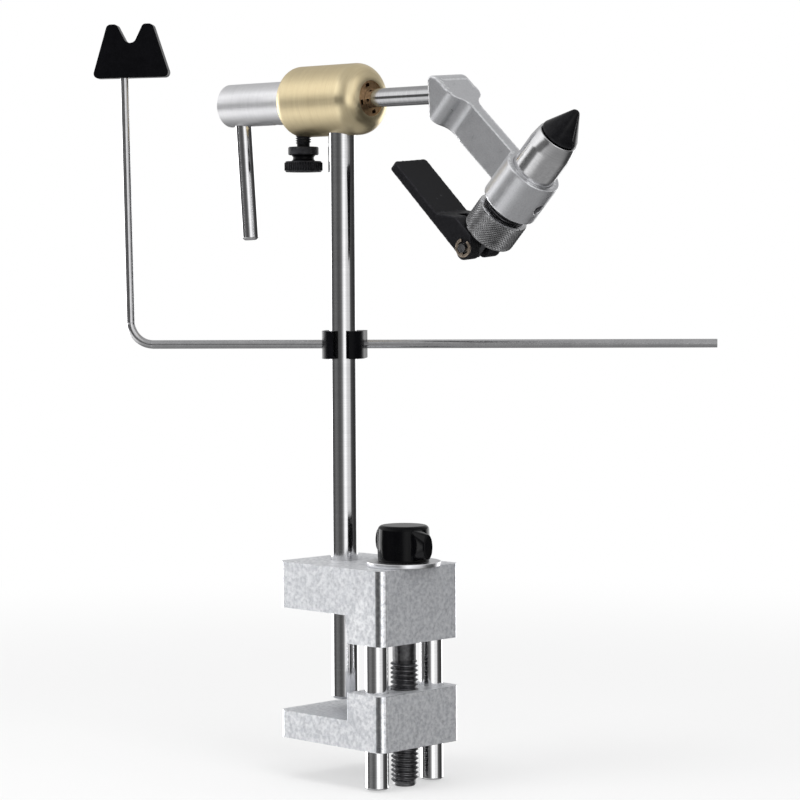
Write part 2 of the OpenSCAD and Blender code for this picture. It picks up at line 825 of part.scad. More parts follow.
module cam_lever() {
    half = lever_w / 2;
    far = 2 * lever_l;
    color("black") lever_frame() difference() {
        intersection() {
            rotate([90, 0, 0]) linear_extrude(lever_w, center = true) lever_side();
            translate([0, 0, -lever_l]) linear_extrude(far) polygon(rounded(
                [[-lever_l, -half], [lever_l, -half], [lever_l, half], [-lever_l, half]],
                [lever_corner_r, 0, 0, lever_corner_r]));
        }
        translate([fork_in, -fork_w / 2, -lever_l]) cube([far, fork_w, far]);
        rotate([90, 0, 0]) cylinder(r = pin_d / 2 + run_fit, h = 2 * lever_w, center = true);
    }
}

module cam_pin() {
    r = pin_d / 2;
    groove = clip_y;
    out = clip_y + clip_t + pin_past;
    color("dimgray") lever_frame() rotate([90, 0, 0]) turned([
        [0, -out], [r, -out], [r, -groove - clip_t], [clip_groove_r, -groove - clip_t],
        [clip_groove_r, -groove], [r, -groove], [r, groove], [clip_groove_r, groove],
        [clip_groove_r, groove + clip_t], [r, groove + clip_t], [r, out], [0, out]]);
}

module pin_clips() {
    thin = clip_t - 2 * set_fit;
    color("saddlebrown") lever_frame() for (side = [0, 180]) rotate([0, 0, side])
        translate([0, clip_y + set_fit, 0]) rotate([-90, 0, 0]) difference() {
            cylinder(r = clip_r, h = thin);
            translate([0, 0, -overrun]) cylinder(r = clip_groove_r + set_fit, h = thin + 2 * overrun);
            translate([-clip_slot / 2, 0, -overrun]) cube([clip_slot, clip_r + overrun, thin + 2 * overrun]);
        }
}

// Material rest

module rest_clip() {
    mouth_w = clip_mouth_share * stem_d;
    boss_y = rod_y + rest_d / 2 + clip_boss;
    color("black") rest_frame() translate([0, 0, -clip_h / 2]) difference() {
        union() {
            cylinder(r = clip_r_out, h = clip_h);
            translate([-clip_r_out, 0, 0]) cube([2 * clip_r_out, boss_y, clip_h]);
        }
        translate([0, 0, -overrun]) cylinder(r = stem_d / 2 + run_fit, h = clip_h + 2 * overrun);
        translate([-mouth_w / 2, -2 * clip_r_out, -overrun])
            cube([mouth_w, 2 * clip_r_out, clip_h + 2 * overrun]);
        translate([-2 * clip_r_out, rod_y, clip_h / 2]) along_x()
            cylinder(r = rest_d / 2 + run_fit, h = 4 * clip_r_out);
    }
}

// Where the leaning upright starts and its direction
module upright_frame() {
    translate([-rest_back + bend_r, rod_y, bend_r]) rotate([0, -rest_lean, 0])
        translate([-bend_r, 0, 0]) children();
}

module rest_rod() {
    straight_l = rest_up - bend_r + head_sink + bend_lap;
    color("gainsboro") rest_frame() {
        translate([-rest_back + bend_r - bend_lap, rod_y, 0]) along_x()
            cylinder(d = rest_d, h = rest_out + rest_back - bend_r + bend_lap);
        translate([-rest_back + bend_r, rod_y, bend_r]) rotate([90, 0, 0]) rotate([0, 0, 180 + rest_lean])
            rotate_extrude(angle = 90 - rest_lean) translate([bend_r, 0]) circle(d = rest_d - bend_thin);
        upright_frame() translate([0, 0, -bend_lap]) cylinder(d = rest_d, h = straight_l);
    }
}

module rest_head() {
    size = [rest_head_w, rest_head_h];
    outline = rounded([for (p = head_shares) [p[0] * size[0], p[1] * size[1]]],
        [for (s = head_round_shares) s * rest_head_h]);
    color("black") rest_frame() upright_frame() difference() {
        translate([head_off, 0, rest_up - bend_r]) rotate([90, 0, 0])
            linear_extrude(rest_head_t, center = true) polygon(outline);
        cylinder(r = rest_d / 2 + set_fit, h = rest_up - bend_r + head_sink + face_gap);
    }
}

upper_jaw();
lower_jaw();
guide_rods();
clamp_screw();
clamp_knob();
thrust_washer();
stem_set_screw();
stem();
head_housing();
front_bush();
rear_bush();
friction_washer();
drag_screw();
drag_pad();
rotary_shaft();
rear_hub();
hub_set_screw();
crank_handle();
jaw_arm();
arm_set_screw();
jaw_set_screw();
jaw_body();
near_jaw();
far_jaw();
draw_rod();
return_spring();
adjusting_knob();
cam_lever();
cam_pin();
pin_clips();
rest_clip();
rest_rod();
rest_head();
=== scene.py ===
# Fly tying vise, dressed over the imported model. Everything is in metres, in the model's own frame.
import math

import bpy
from mathutils import Matrix, Vector


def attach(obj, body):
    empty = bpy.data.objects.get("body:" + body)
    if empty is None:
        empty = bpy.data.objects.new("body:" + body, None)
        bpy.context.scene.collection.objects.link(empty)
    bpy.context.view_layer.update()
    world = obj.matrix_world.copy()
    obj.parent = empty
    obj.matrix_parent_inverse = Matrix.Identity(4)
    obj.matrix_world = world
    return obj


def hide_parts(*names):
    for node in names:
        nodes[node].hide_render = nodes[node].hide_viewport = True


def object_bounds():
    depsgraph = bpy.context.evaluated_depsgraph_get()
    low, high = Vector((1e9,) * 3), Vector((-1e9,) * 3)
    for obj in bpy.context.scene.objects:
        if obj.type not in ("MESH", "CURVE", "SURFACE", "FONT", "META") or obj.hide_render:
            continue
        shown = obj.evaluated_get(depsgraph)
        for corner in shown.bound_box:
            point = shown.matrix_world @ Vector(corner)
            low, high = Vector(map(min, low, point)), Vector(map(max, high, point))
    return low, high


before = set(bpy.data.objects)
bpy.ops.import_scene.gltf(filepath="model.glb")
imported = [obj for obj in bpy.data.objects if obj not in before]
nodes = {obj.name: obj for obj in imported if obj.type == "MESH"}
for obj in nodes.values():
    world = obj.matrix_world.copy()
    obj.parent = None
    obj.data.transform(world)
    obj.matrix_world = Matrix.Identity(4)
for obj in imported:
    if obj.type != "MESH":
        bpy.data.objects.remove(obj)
cadLow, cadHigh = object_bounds()
scene = bpy.context.scene
print("frame loaded:", len(nodes), "nodes")

mm = 0.001

# the places that pieces share: heights, turns and reaches of the vise
vise = {
    "axisHeight": 174.6 * mm,
    "headTurn": 5,
    "rotorTurn": 4.5,
    "jawSlope": 45,
    "sleeveOut": 76.1 * mm,
    "sleeveDown": 31.8 * mm,
    "screwOut": 29.1 * mm,
    "dragBack": 18 * mm,
    "restHeight": 90.4 * mm,
    "restTurn": 40,
}


def turnAbout(axis, degrees):
    return Matrix.Rotation(math.radians(degrees), 4, axis)


headPlace = Matrix.Translation((0, 0, vise["axisHeight"])) @ turnAbout("Z", vise["headTurn"])
rotorPlace = headPlace @ turnAbout("X", vise["rotorTurn"])
sleevePlace = rotorPlace @ Matrix.Translation((vise["sleeveOut"], 0, -vise["sleeveDown"]))
jawPlace = sleevePlace @ turnAbout("Y", 90 - vise["jawSlope"])
headAxisPlace = headPlace @ turnAbout("Y", 90)
rotorAxisPlace = rotorPlace @ turnAbout("Y", 90)
screwPlace = Matrix.Translation((vise["screwOut"], 0, 0))
dragPlace = headPlace @ Matrix.Translation((-vise["dragBack"], 0, 0))
restPlace = Matrix.Translation((0, 0, vise["restHeight"])) @ turnAbout("Z", vise["restTurn"])
standPlace = Matrix.Identity(4)


# camera, lights and background
camera = {
    "lens": 120.97,
    "sensor": 36,
    "clip": (0.05, 30),
    "turn": 45.318,
    "down": 2.913,
    "roll": 0.3,
    "back": 0.9289,
    "side": 0.0195,
    "height": 0.1184,
}


def makeCamera():
    turn, down, roll = (math.radians(camera[key]) for key in ("turn", "down", "roll"))
    right = Vector((math.cos(turn), math.sin(turn), 0))
    ahead = Vector((-math.sin(turn), math.cos(turn), 0))
    look = ahead * math.cos(down) - Vector((0, 0, 1)) * math.sin(down)
    up = right.cross(look)
    tiltedUp = up * math.cos(roll) + right * math.sin(roll)
    tiltedRight = right * math.cos(roll) - up * math.sin(roll)
    bpy.ops.object.camera_add()
    cam = bpy.context.object
    cam.name = "photoCamera"
    cam.data.lens = camera["lens"]
    cam.data.sensor_width = camera["sensor"]
    cam.data.clip_start, cam.data.clip_end = camera["clip"]
    place = Matrix((tiltedRight, tiltedUp, -look)).transposed().to_4x4()
    spot = right * camera["side"] - ahead * camera["back"]
    place.translation = spot + Vector((0, 0, camera["height"]))
    cam.matrix_world = place
    scene.camera = cam
    return right, ahead


photoRight, photoAhead = makeCamera()


studio = {
    "diffuse": 0.5,
    # light round the vise, by share of a turn:
    # 0 is behind the vise, 0.25 at its left, 0.5 at the camera and 0.75 at its right
    "lowBand": [
        (0.0, 0.4), (0.05, 0.8), (0.08, 4.0), (0.18, 4.0), (0.2, 0.8), (0.215, 0.1), (0.24, 0.08),
        (0.275, 0.14), (0.31, 0.2), (0.36, 0.16), (0.39, 0.1), (0.44, 0.12), (0.48, 0.3), (0.51, 1.2),
        (0.54, 1.6), (0.57, 1.2), (0.60, 0.9), (0.65, 0.85), (0.685, 0.1), (0.77, 0.04), (0.82, 0.05),
        (0.84, 0.8), (0.86, 2.0), (0.93, 2.0), (0.96, 0.7), (1.0, 0.4),
    ],
    "highBand": [
        (0.0, 0.45), (0.09, 0.6), (0.17, 1.1), (0.27, 1.4), (0.36, 0.9), (0.43, 0.45), (0.48, 0.45),
        (0.52, 0.9), (0.66, 1.1), (0.72, 0.5), (0.84, 0.4), (0.92, 0.6), (1.0, 0.6),
    ],
    "underBand": [
        (0.0, 0.1), (0.1, 0.25), (0.18, 1.1), (0.3, 1.2), (0.4, 0.5), (0.5, 0.4), (0.6, 0.3), (0.7, 0.1),
        (0.85, 0.06), (1.0, 0.12),
    ],
    "topGlow": 0.55,
    "floorGlow": 0.35,
    # where one light gives way to the next, by the sine of the angle up or down
    "above": (0.1, 0.2),
    "zenith": (0.56, 0.82),
    "below": (0.22, 0.34),
    "straightDown": (0.55, 0.85),
}


def setInputs(tree, node, inputs):
    # inputs go by name or number, each a link from another node or a plain value
    for key, value in inputs.items():
        if hasattr(value, "is_output"):
            tree.links.new(value, node.inputs[key])
        elif value is not None:
            node.inputs[key].default_value = value


def addNode(tree, kind, inputs=None, **settings):
    node = tree.nodes.new(kind)
    for key, value in settings.items():
        setattr(node, key, value)
    setInputs(tree, node, inputs or {})
    return node


def mathOf(tree, operation, first, second=None, clamp=False):
    node = addNode(tree, "ShaderNodeMath", {0: first, 1: second}, operation=operation, use_clamp=clamp)
    return node.outputs[0]


def timesOf(tree, first, second):
    return mathOf(tree, "MULTIPLY", first, second)


def shareOf(tree, first, second, share):
    # this share of the first value, and the rest of the second
    return mathOf(tree, "ADD", timesOf(tree, first, share), timesOf(tree, second, 1 - share))


def vectorOf(tree, operation, first, second=None):
    node = addNode(tree, "ShaderNodeVectorMath", {0: first, 1: second}, operation=operation)
    return node.outputs["Vector"]


def splitOf(tree, vector):
    return addNode(tree, "ShaderNodeSeparateXYZ", {0: vector}).outputs


def rampOf(tree, factor, stops, interpolation="LINEAR"):
    node = addNode(tree, "ShaderNodeValToRGB", {"Fac": factor})
    node.color_ramp.interpolation = interpolation
    marks = node.color_ramp.elements
    while len(marks) < len(stops):
        marks.new(0.5)
    for mark, (place, value) in zip(marks, stops):
        mark.position = place
        mark.color = (value, value, value, 1)
    return node.outputs["Color"]


def fadeIn(tree, value, span, interpolation="LINEAR"):
    # 0 before the span and 1 after it
    return rampOf(tree, value, [(span[0], 0.0), (span[1], 1.0)], interpolation)


def fadeOut(tree, value, span):
    return rampOf(tree, value, [(span[0], 1.0), (span[1], 0.0)])


def mixColours(tree, factor, first, second):
    first, second = (value if hasattr(value, "is_output") else (*value, 1) for value in (first, second))
    return addNode(tree, "ShaderNodeMix", {0: factor, 6: first, 7: second}, data_type="RGBA").outputs[2]


def mixShaders(tree, share, first, second):
    return addNode(tree, "ShaderNodeMixShader", {0: share, 1: first, 2: second}).outputs[0]


def raysOf(tree):
    # the rays that see the backdrop itself, and those that shiny metal mirrors
    path = addNode(tree, "ShaderNodeLightPath")
    direct = mathOf(tree, "MAXIMUM", path.outputs["Is Camera Ray"], path.outputs["Is Transmission Ray"])
    return direct, path.outputs["Is Glossy Ray"]


def makeWorld():
    s = studio
    world = bpy.data.worlds.new("studio")
    scene.world = world
    world.use_nodes = True
    tree = world.node_tree
    tree.nodes.clear()
    coords = addNode(tree, "ShaderNodeTexCoord").outputs["Generated"]
    spin = (0, 0, -math.radians(camera["turn"]))
    turned = addNode(tree, "ShaderNodeMapping", {"Vector": coords, "Rotation": spin}, vector_type="POINT")
    look = splitOf(tree, turned.outputs["Vector"])
    turn = mathOf(tree, "ARCTAN2", look["X"], timesOf(tree, look["Y"], -1.0))
    share = mathOf(tree, "ADD", timesOf(tree, turn, 1 / (2 * math.pi)), 0.5)
    low, high, under = (rampOf(tree, share, s[key]) for key in ("lowBand", "highBand", "underBand"))
    up = look["Z"]
    down = timesOf(tree, up, -1.0)
    seen = mixColours(tree, fadeIn(tree, up, s["above"], "EASE"), low, high)
    seen = mixColours(tree, fadeIn(tree, up, s["zenith"], "EASE"), seen, (s["topGlow"],) * 3)
    seen = mixColours(tree, fadeIn(tree, down, s["below"], "EASE"), seen, under)
    seen = mixColours(tree, fadeIn(tree, down, s["straightDown"], "EASE"), seen, (s["floorGlow"],) * 3)
    direct, mirrored = raysOf(tree)
    colour = mixColours(tree, mirrored, (s["diffuse"],) * 3, seen)
    colour = mixColours(tree, direct, colour, (1, 1, 1))
    back = addNode(tree, "ShaderNodeBackground", {"Color": colour})
    addNode(tree, "ShaderNodeOutputWorld", {"Surface": back.outputs[0]})


lampTarget = Vector((0.02, 0, 0.08))
lamps = [
    # name, how far right, towards the camera, height, size, watts
    ("keyPanel", 0.45, 0.75, 0.75, (0.5, 0.7), 4.0),
    ("topPanel", -0.1, 0.1, 1.1, (0.8, 0.8), 5.0),
    ("leftPanel", -0.9, 0.45, 0.45, (0.6, 0.8), 5.5),
]


def makeLamps():
    for name, side, near, high, size, watts in lamps:
        spot = photoRight * side - photoAhead * near + Vector((0, 0, high))
        bpy.ops.object.light_add(type="AREA", location=spot)
        lamp = bpy.context.object
        lamp.name = name
        lamp.data.shape = "RECTANGLE"
        lamp.data.size, lamp.data.size_y = size
        lamp.data.energy = watts
        lamp.rotation_mode = "QUATERNION"
        lamp.rotation_quaternion = (lampTarget - spot).to_track_quat("-Z", "Y")
        lamp.visible_glossy = False


floorLook = {
    "size": 8, "drop": 0.2 * mm, "fade": (0.16, 0.6),
    "bounce": 0.72, "shadowed": 0.4, "glow": 0.5, "backdrop": 1.0,
}


def newMaterial(name):
    mat = bpy.data.materials.new(name)
    mat.use_nodes = True
    mat.node_tree.nodes.clear()
    return mat, mat.node_tree


def greyPaper(tree, level):
    return addNode(tree, "ShaderNodeBsdfDiffuse", {"Color": (level, level, level, 1)}).outputs[0]


def glowOf(tree, strength):
    return addNode(tree, "ShaderNodeEmission", {"Strength": strength}).outputs[0]


def makeFloor():
    s = floorLook
    bpy.ops.mesh.primitive_plane_add(size=s["size"], location=(0, 0, cadLow.z - s["drop"]))
    floor = bpy.context.object
    floor.name = "floor"
    mat, tree = newMaterial("floorPaper")
    # near the vise the paper takes its shadow, further off it is as white as the backdrop
    coords = addNode(tree, "ShaderNodeTexCoord").outputs["Object"]
    reach = addNode(tree, "ShaderNodeVectorMath", {0: coords}, operation="LENGTH").outputs["Value"]
    near = addNode(tree, "ShaderNodeAddShader", {0: greyPaper(tree, s["shadowed"]), 1: glowOf(tree, s["glow"])})
    far = fadeIn(tree, reach, s["fade"], "EASE")
    shown = mixShaders(tree, far, near.outputs[0], glowOf(tree, s["backdrop"]))
    # shiny metal sees the studio past the floor
    direct, mirrored = raysOf(tree)
    clear = addNode(tree, "ShaderNodeBsdfTransparent").outputs[0]
    unseen = mixShaders(tree, mirrored, greyPaper(tree, s["bounce"]), clear)
    addNode(tree, "ShaderNodeOutputMaterial", {"Surface": mixShaders(tree, direct, unseen, shown)})
    floor.data.materials.append(mat)


makeWorld()
makeLamps()
makeFloor()
scene.view_settings.view_transform = "Standard"
print("camera, lamps and floor made")


# effects that materials share
def newGroup(name, inputs, outputs):
    # each group takes a vector, and the numbers that are named here with what they are if left out
    group = bpy.data.node_groups.new(name, "ShaderNodeTree")
    group.interface.new_socket("Vector", in_out="INPUT", socket_type="NodeSocketVector")
    for label, value in inputs.items():
        socket = group.interface.new_socket(label, in_out="INPUT", socket_type="NodeSocketFloat")
        socket.default_value = value
    for label in outputs:
        group.interface.new_socket(label, in_out="OUTPUT", socket_type="NodeSocketFloat")
    return group, addNode(group, "NodeGroupInput").outputs


def noiseOf(tree, vector, scale, detail=3.0, roughness=0.55):
    inputs = {"Vector": vector, "Scale": scale, "Detail": detail, "Roughness": roughness}
    return addNode(tree, "ShaderNodeTexNoise", inputs).outputs["Fac"]


def cellsOf(tree, feature, vector, scale):
    node = addNode(tree, "ShaderNodeTexVoronoi", {"Vector": vector, "Scale": scale}, feature=feature)
    return node.outputs["Distance"]


ringLook = {"broadScale": 0.12, "fineShare": 0.7, "cloudScale": 180.0}


def makeTurnMarks():
    # fine rings round the local Z, as a lathe or a grinder leaves them
    s = ringLook
    group, given = newGroup("turnMarks", {"Rings": 4000.0, "Drift": 0.03}, ["Rings", "Cloud"])
    vector, scale, drift = given["Vector"], given["Rings"], given["Drift"]
    squeeze = addNode(group, "ShaderNodeCombineXYZ", {"X": drift, "Y": drift, "Z": 1})
    flat = vectorOf(group, "MULTIPLY", vector, squeeze.outputs[0])
    fine = noiseOf(group, flat, scale, 4.0, 0.7)
    broad = noiseOf(group, flat, timesOf(group, scale, s["broadScale"]), 2.0)
    rings = shareOf(group, fine, broad, s["fineShare"])
    cloud = noiseOf(group, vector, s["cloudScale"], 4.0, 0.6)
    addNode(group, "NodeGroupOutput", {"Rings": rings, "Cloud": cloud})
    return group


# sizes are shares of the grain's, spans are where each mark fades in or out
tumbleLook = {
    "coarse": 0.4, "nicks": 0.3, "clouds": 0.06, "fineShare": 0.5, "speckleSpan": (0.4, 0.6),
    "pitSpan": (0.30, 0.40), "nickSpan": (0.08, 0.2), "cloudSpan": (0.3, 0.7),
}


def makeTumble():
    # pits, bright nicks and clouds of a tumbled or blasted surface
    s = tumbleLook
    group, given = newGroup("tumble", {"Grain": 1500.0}, ["Speckle", "Pits", "Nicks", "Cloud"])
    vector, grain = given["Vector"], given["Grain"]
    fine = noiseOf(group, vector, grain, 5.0, 0.7)
    coarse = noiseOf(group, vector, timesOf(group, grain, s["coarse"]), 3.0, 0.6)
    nicks = cellsOf(group, "F1", vector, timesOf(group, grain, s["nicks"]))
    cloud = noiseOf(group, vector, timesOf(group, grain, s["clouds"]), 4.0, 0.6)
    addNode(group, "NodeGroupOutput", {
        "Speckle": fadeIn(group, shareOf(group, fine, coarse, s["fineShare"]), s["speckleSpan"]),
        "Pits": fadeOut(group, coarse, s["pitSpan"]),
        "Nicks": fadeOut(group, nicks, s["nickSpan"]),
        "Cloud": fadeIn(group, cloud, s["cloudSpan"]),
    })
    return group


scratchLook = {
    "warpScale": 60, "warp": 6 * mm, "scale": 85.0, "lineSpan": (0.0, 0.012),
    "whereScale": 110.0, "whereSpan": (0.56, 0.64),
}


def makeScratches():
    # a few thin, curved scratches
    s = scratchLook
    group, given = newGroup("scratches", {}, ["Mask"])
    vector = given["Vector"]
    warp = addNode(group, "ShaderNodeTexNoise", {"Vector": vector, "Scale": s["warpScale"]})
    push = vectorOf(group, "MULTIPLY", warp.outputs["Color"], (s["warp"],) * 3)
    cells = cellsOf(group, "DISTANCE_TO_EDGE", vectorOf(group, "ADD", vector, push), s["scale"])
    line = fadeOut(group, cells, s["lineSpan"])
    where = fadeIn(group, noiseOf(group, vector, s["whereScale"], 2.0), s["whereSpan"])
    addNode(group, "NodeGroupOutput", {"Mask": timesOf(group, line, where)})
    return group


wearLook = {"level": 0.5, "breakScale": 700.0, "breakStops": [(0.35, 0.35), (0.65, 1.0)]}


def makeEdgeWear():
    # bright or rubbed outer edges, broken up by noise
    s = wearLook
    group, given = newGroup("edgeWear", {"Spread": 0.05}, ["Mask"])
    shape = addNode(group, "ShaderNodeNewGeometry")
    above = mathOf(group, "SUBTRACT", shape.outputs["Pointiness"], s["level"])
    edge = mathOf(group, "DIVIDE", above, given["Spread"], clamp=True)
    broken = rampOf(group, noiseOf(group, given["Vector"], s["breakScale"], 4.0), s["breakStops"])
    addNode(group, "NodeGroupOutput", {"Mask": mathOf(group, "MULTIPLY", edge, broken, clamp=True)})
    return group


turnMarks = makeTurnMarks()
tumble = makeTumble()
scratches = makeScratches()
edgeWear = makeEdgeWear()


def startFinish(name, place):
    mat, tree = newMaterial(name)
    shift, spin, _ = place.decompose()
    coords = addNode(tree, "ShaderNodeTexCoord").outputs["Object"]
    inputs = {"Vector": coords, "Location": shift, "Rotation": spin.to_euler("XYZ")}
    local = addNode(tree, "ShaderNodeMapping", inputs, vector_type="TEXTURE")
    shader = addNode(tree, "ShaderNodeBsdfPrincipled")
    addNode(tree, "ShaderNodeOutputMaterial", {"Surface": shader.outputs[0]})
    return mat, tree, local.outputs["Vector"], shader


def brushRound(tree, place, vector, shader, amount):
    # marks run round the place's Z, so the sheen spreads along Z, and outwards on the end faces
    local = splitOf(tree, vector)
    flat = addNode(tree, "ShaderNodeCombineXYZ", {"X": local["X"], "Y": local["Y"]}).outputs[0]
    along = vectorOf(tree, "ADD", vectorOf(tree, "NORMALIZE", flat), (0, 0, 1))
    inputs = {"Vector": along, "Rotation": place.to_euler("XYZ")}
    turned = addNode(tree, "ShaderNodeMapping", inputs, vector_type="VECTOR").outputs[0]
    moved = addNode(tree, "ShaderNodeVectorTransform", {0: turned}, vector_type="VECTOR",
                    convert_from="OBJECT", convert_to="WORLD")
    setInputs(tree, shader, {"Tangent": moved.outputs[0], "Anisotropic": amount})


def useGroup(tree, group, vector, **values):
    return addNode(tree, "ShaderNodeGroup", {"Vector": vector, **values}, node_tree=group).outputs


def stretch(tree, value, low, high, fromLow=0.0, fromHigh=1.0):
    inputs = {"Value": value, "From Min": fromLow, "From Max": fromHigh, "To Min": low, "To Max": high}
    return addNode(tree, "ShaderNodeMapRange", inputs).outputs["Result"]


def endFinish(tree, shader, colour, roughness, metal, height, depth):
    # what every finish ends in: its marks are as deep as the depth
    bump = addNode(tree, "ShaderNodeBump", {"Height": height, "Strength": 1.0, "Distance": depth})
    setInputs(tree, shader, {
        "Base Color": colour, "Roughness": roughness, "Metallic": metal, "Normal": bump.outputs["Normal"],
    })


def wornColour(tree, vector, colour, wear, spread, share=1.0):
    # the outer edges are rubbed to the wear colour
    edges = useGroup(tree, edgeWear, vector, Spread=spread)
    return mixColours(tree, timesOf(tree, edges["Mask"], share), colour, wear)


turnedLook = {
    "ringShare": 0.85, "toneSpan": (0.35, 0.65), "wearSpread": 0.06,
    # the colour of the painted shade on the jaw body's thread
    "paintedThreadShade": (0.10, 0.10, 0.105), "polish": 0.11,
}


def turnedMetal(name, place, dark, light, rough, rings, depth, drift=0.03, wear=None, brushed=0.0,
                paintedShadeBelow=None, polishedAbove=None):
    # metal with lathe or grinding marks round the place's Z
    s = turnedLook
    mat, tree, vector, shader = startFinish(name, place)
    marks = useGroup(tree, turnMarks, vector, Rings=rings, Drift=drift)
    tone = shareOf(tree, marks["Rings"], marks["Cloud"], s["ringShare"])
    colour = mixColours(tree, stretch(tree, tone, 0.0, 1.0, *s["toneSpan"]), dark, light)
    if wear:
        colour = wornColour(tree, vector, colour, wear, s["wearSpread"])
    if paintedShadeBelow:
        # painted shade darkens the thread up to this height
        low = mathOf(tree, "LESS_THAN", splitOf(tree, vector)["Z"], paintedShadeBelow)
        colour = mixColours(tree, low, colour, s["paintedThreadShade"])
    roughness = stretch(tree, tone, *rough, *s["toneSpan"])
    if polishedAbove:
        # the rounded front end is polished, the cylinder behind it is brushed
        ahead = mathOf(tree, "GREATER_THAN", splitOf(tree, vector)["Z"], polishedAbove)
        roughness = mathOf(tree, "SUBTRACT", roughness, timesOf(tree, ahead, s["polish"]))
    if brushed:
        brushRound(tree, place, vector, shader, brushed)
    endFinish(tree, shader, colour, roughness, 1.0, marks["Rings"], depth)
    return mat


tumbledLook = {
    "speckleShare": 0.65, "pitShare": 0.6, "scratchShare": 0.7, "wearSpread": 0.05,
    "flatSpan": (0.97, 0.998), "nickHeight": 0.3,
}


def tumbledMetal(name, place, dark, light, rough, grain, depth, metal, pit, wear, scratch=None, corner=None):
    # aluminium out of the tumbler or the blasting cabinet
    s = tumbledLook
    mat, tree, vector, shader = startFinish(name, place)
    skin = useGroup(tree, tumble, vector, Grain=grain)
    tone = shareOf(tree, skin["Speckle"], skin["Cloud"], s["speckleShare"])
    colour = mixColours(tree, tone, dark, light)
    colour = mixColours(tree, timesOf(tree, skin["Pits"], s["pitShare"]), colour, pit)
    if scratch:
        lines = useGroup(tree, scratches, vector)
        colour = mixColours(tree, timesOf(tree, lines["Mask"], s["scratchShare"]), colour, scratch)
    colour = wornColour(tree, vector, colour, wear, s["wearSpread"])
    roughness = stretch(tree, tone, *rough)
    if corner:
        # corners are rubbed bright: the flat faces are those that look along one axis
        normal = addNode(tree, "ShaderNodeTexCoord").outputs["Normal"]
        facing = splitOf(tree, vectorOf(tree, "ABSOLUTE", normal))
        most = mathOf(tree, "MAXIMUM", mathOf(tree, "MAXIMUM", facing["X"], facing["Y"]), facing["Z"])
        flat = stretch(tree, most, 0.0, 1.0, *s["flatSpan"])
        rubbed = timesOf(tree, mathOf(tree, "SUBTRACT", 1.0, flat), corner)
        roughness = mathOf(tree, "ADD", timesOf(tree, roughness, flat), rubbed)
        metal = stretch(tree, flat, 1.0, metal)
    height = mathOf(tree, "SUBTRACT", skin["Speckle"], skin["Pits"])
    height = mathOf(tree, "ADD", height, timesOf(tree, skin["Nicks"], s["nickHeight"]))
    endFinish(tree, shader, colour, roughness, metal, height, depth)
    return mat


coatLook = {"speckleShare": 0.5, "ringShare": 0.5, "wearSpread": 0.06, "wearShare": 0.7}


def darkCoat(name, place, dark, light, rough, grain, depth, metal=0.0, wear=None, level=0.5, rings=0.0):
    # paint, plastic, fibre or oxide: cloudy sheen, fine tooth and rubbed edges
    s = coatLook
    mat, tree, vector, shader = startFinish(name, place)
    skin = useGroup(tree, tumble, vector, Grain=grain)
    tone = shareOf(tree, skin["Speckle"], skin["Cloud"], s["speckleShare"])
    height = skin["Speckle"]
    if rings:
        marks = useGroup(tree, turnMarks, vector, Rings=rings)
        tone = shareOf(tree, tone, marks["Rings"], s["ringShare"])
        height = mathOf(tree, "ADD", height, marks["Rings"])
    colour = mixColours(tree, tone, dark, light)
    if wear:
        colour = wornColour(tree, vector, colour, wear, s["wearSpread"], s["wearShare"])
    setInputs(tree, shader, {"Specular IOR Level": level})
    endFinish(tree, shader, colour, stretch(tree, tone, *rough), metal, height, depth)
    return mat


# name, place, darkest and lightest colour, roughness from and to, marks a metre, depth of the marks
clampAlloy = tumbledMetal(
    "clampAlloy", standPlace, (0.27, 0.28, 0.31), (0.62, 0.64, 0.685), (0.40, 0.56), 7600.0, 0.004 * mm,
    metal=0.65, pit=(0.10, 0.105, 0.12), wear=(0.95, 0.96, 0.98), scratch=(0.16, 0.16, 0.18), corner=0.1)
armAlloy = tumbledMetal(
    "armAlloy", jawPlace, (0.54, 0.545, 0.565), (0.68, 0.685, 0.705), (0.27, 0.35), 5200.0, 0.002 * mm,
    metal=0.88, pit=(0.52, 0.525, 0.54), wear=(0.90, 0.91, 0.93))
stemSteel = turnedMetal(
    "stemSteel", standPlace, (0.60, 0.60, 0.61), (0.70, 0.70, 0.71), (0.10, 0.13), 2600.0, 0.0003 * mm,
    brushed=0.4)
rodSteel = turnedMetal(
    "rodSteel", standPlace, (0.78, 0.78, 0.79), (0.88, 0.88, 0.89), (0.09, 0.12), 2600.0, 0.0003 * mm,
    brushed=0.3)
handleSteel = turnedMetal(
    "handleSteel", rotorPlace, (0.60, 0.60, 0.61), (0.70, 0.70, 0.71), (0.10, 0.13), 2600.0, 0.0003 * mm,
    brushed=0.4)
shaftSteel = turnedMetal(
    "shaftSteel", rotorAxisPlace, (0.40, 0.40, 0.41), (0.52, 0.52, 0.53), (0.13, 0.17), 2600.0, 0.0003 * mm,
    brushed=0.3)
restSteel = turnedMetal(
    "restSteel", standPlace, (0.46, 0.46, 0.47), (0.62, 0.62, 0.63), (0.14, 0.20), 1800.0, 0.0003 * mm,
    drift=1.0)
brassSkin = turnedMetal(
    "brassSkin", headAxisPlace, (0.76, 0.625, 0.38), (0.90, 0.775, 0.51), (0.40, 0.48), 4200.0, 0.002 * mm,
    wear=(0.92, 0.80, 0.54), brushed=0.3, polishedAbove=7.4 * mm)
bushBronze = turnedMetal(
    "bushBronze", headAxisPlace, (0.20, 0.12, 0.05), (0.40, 0.26, 0.12), (0.24, 0.4), 4200.0, 0.003 * mm,
    wear=(0.8, 0.5, 0.28), brushed=0.5)
hubAlloy = turnedMetal(
    "hubAlloy", rotorAxisPlace, (0.78, 0.78, 0.80), (0.92, 0.92, 0.94), (0.36, 0.44), 3000.0, 0.0015 * mm,
    wear=(0.95, 0.95, 0.96), brushed=0.3)
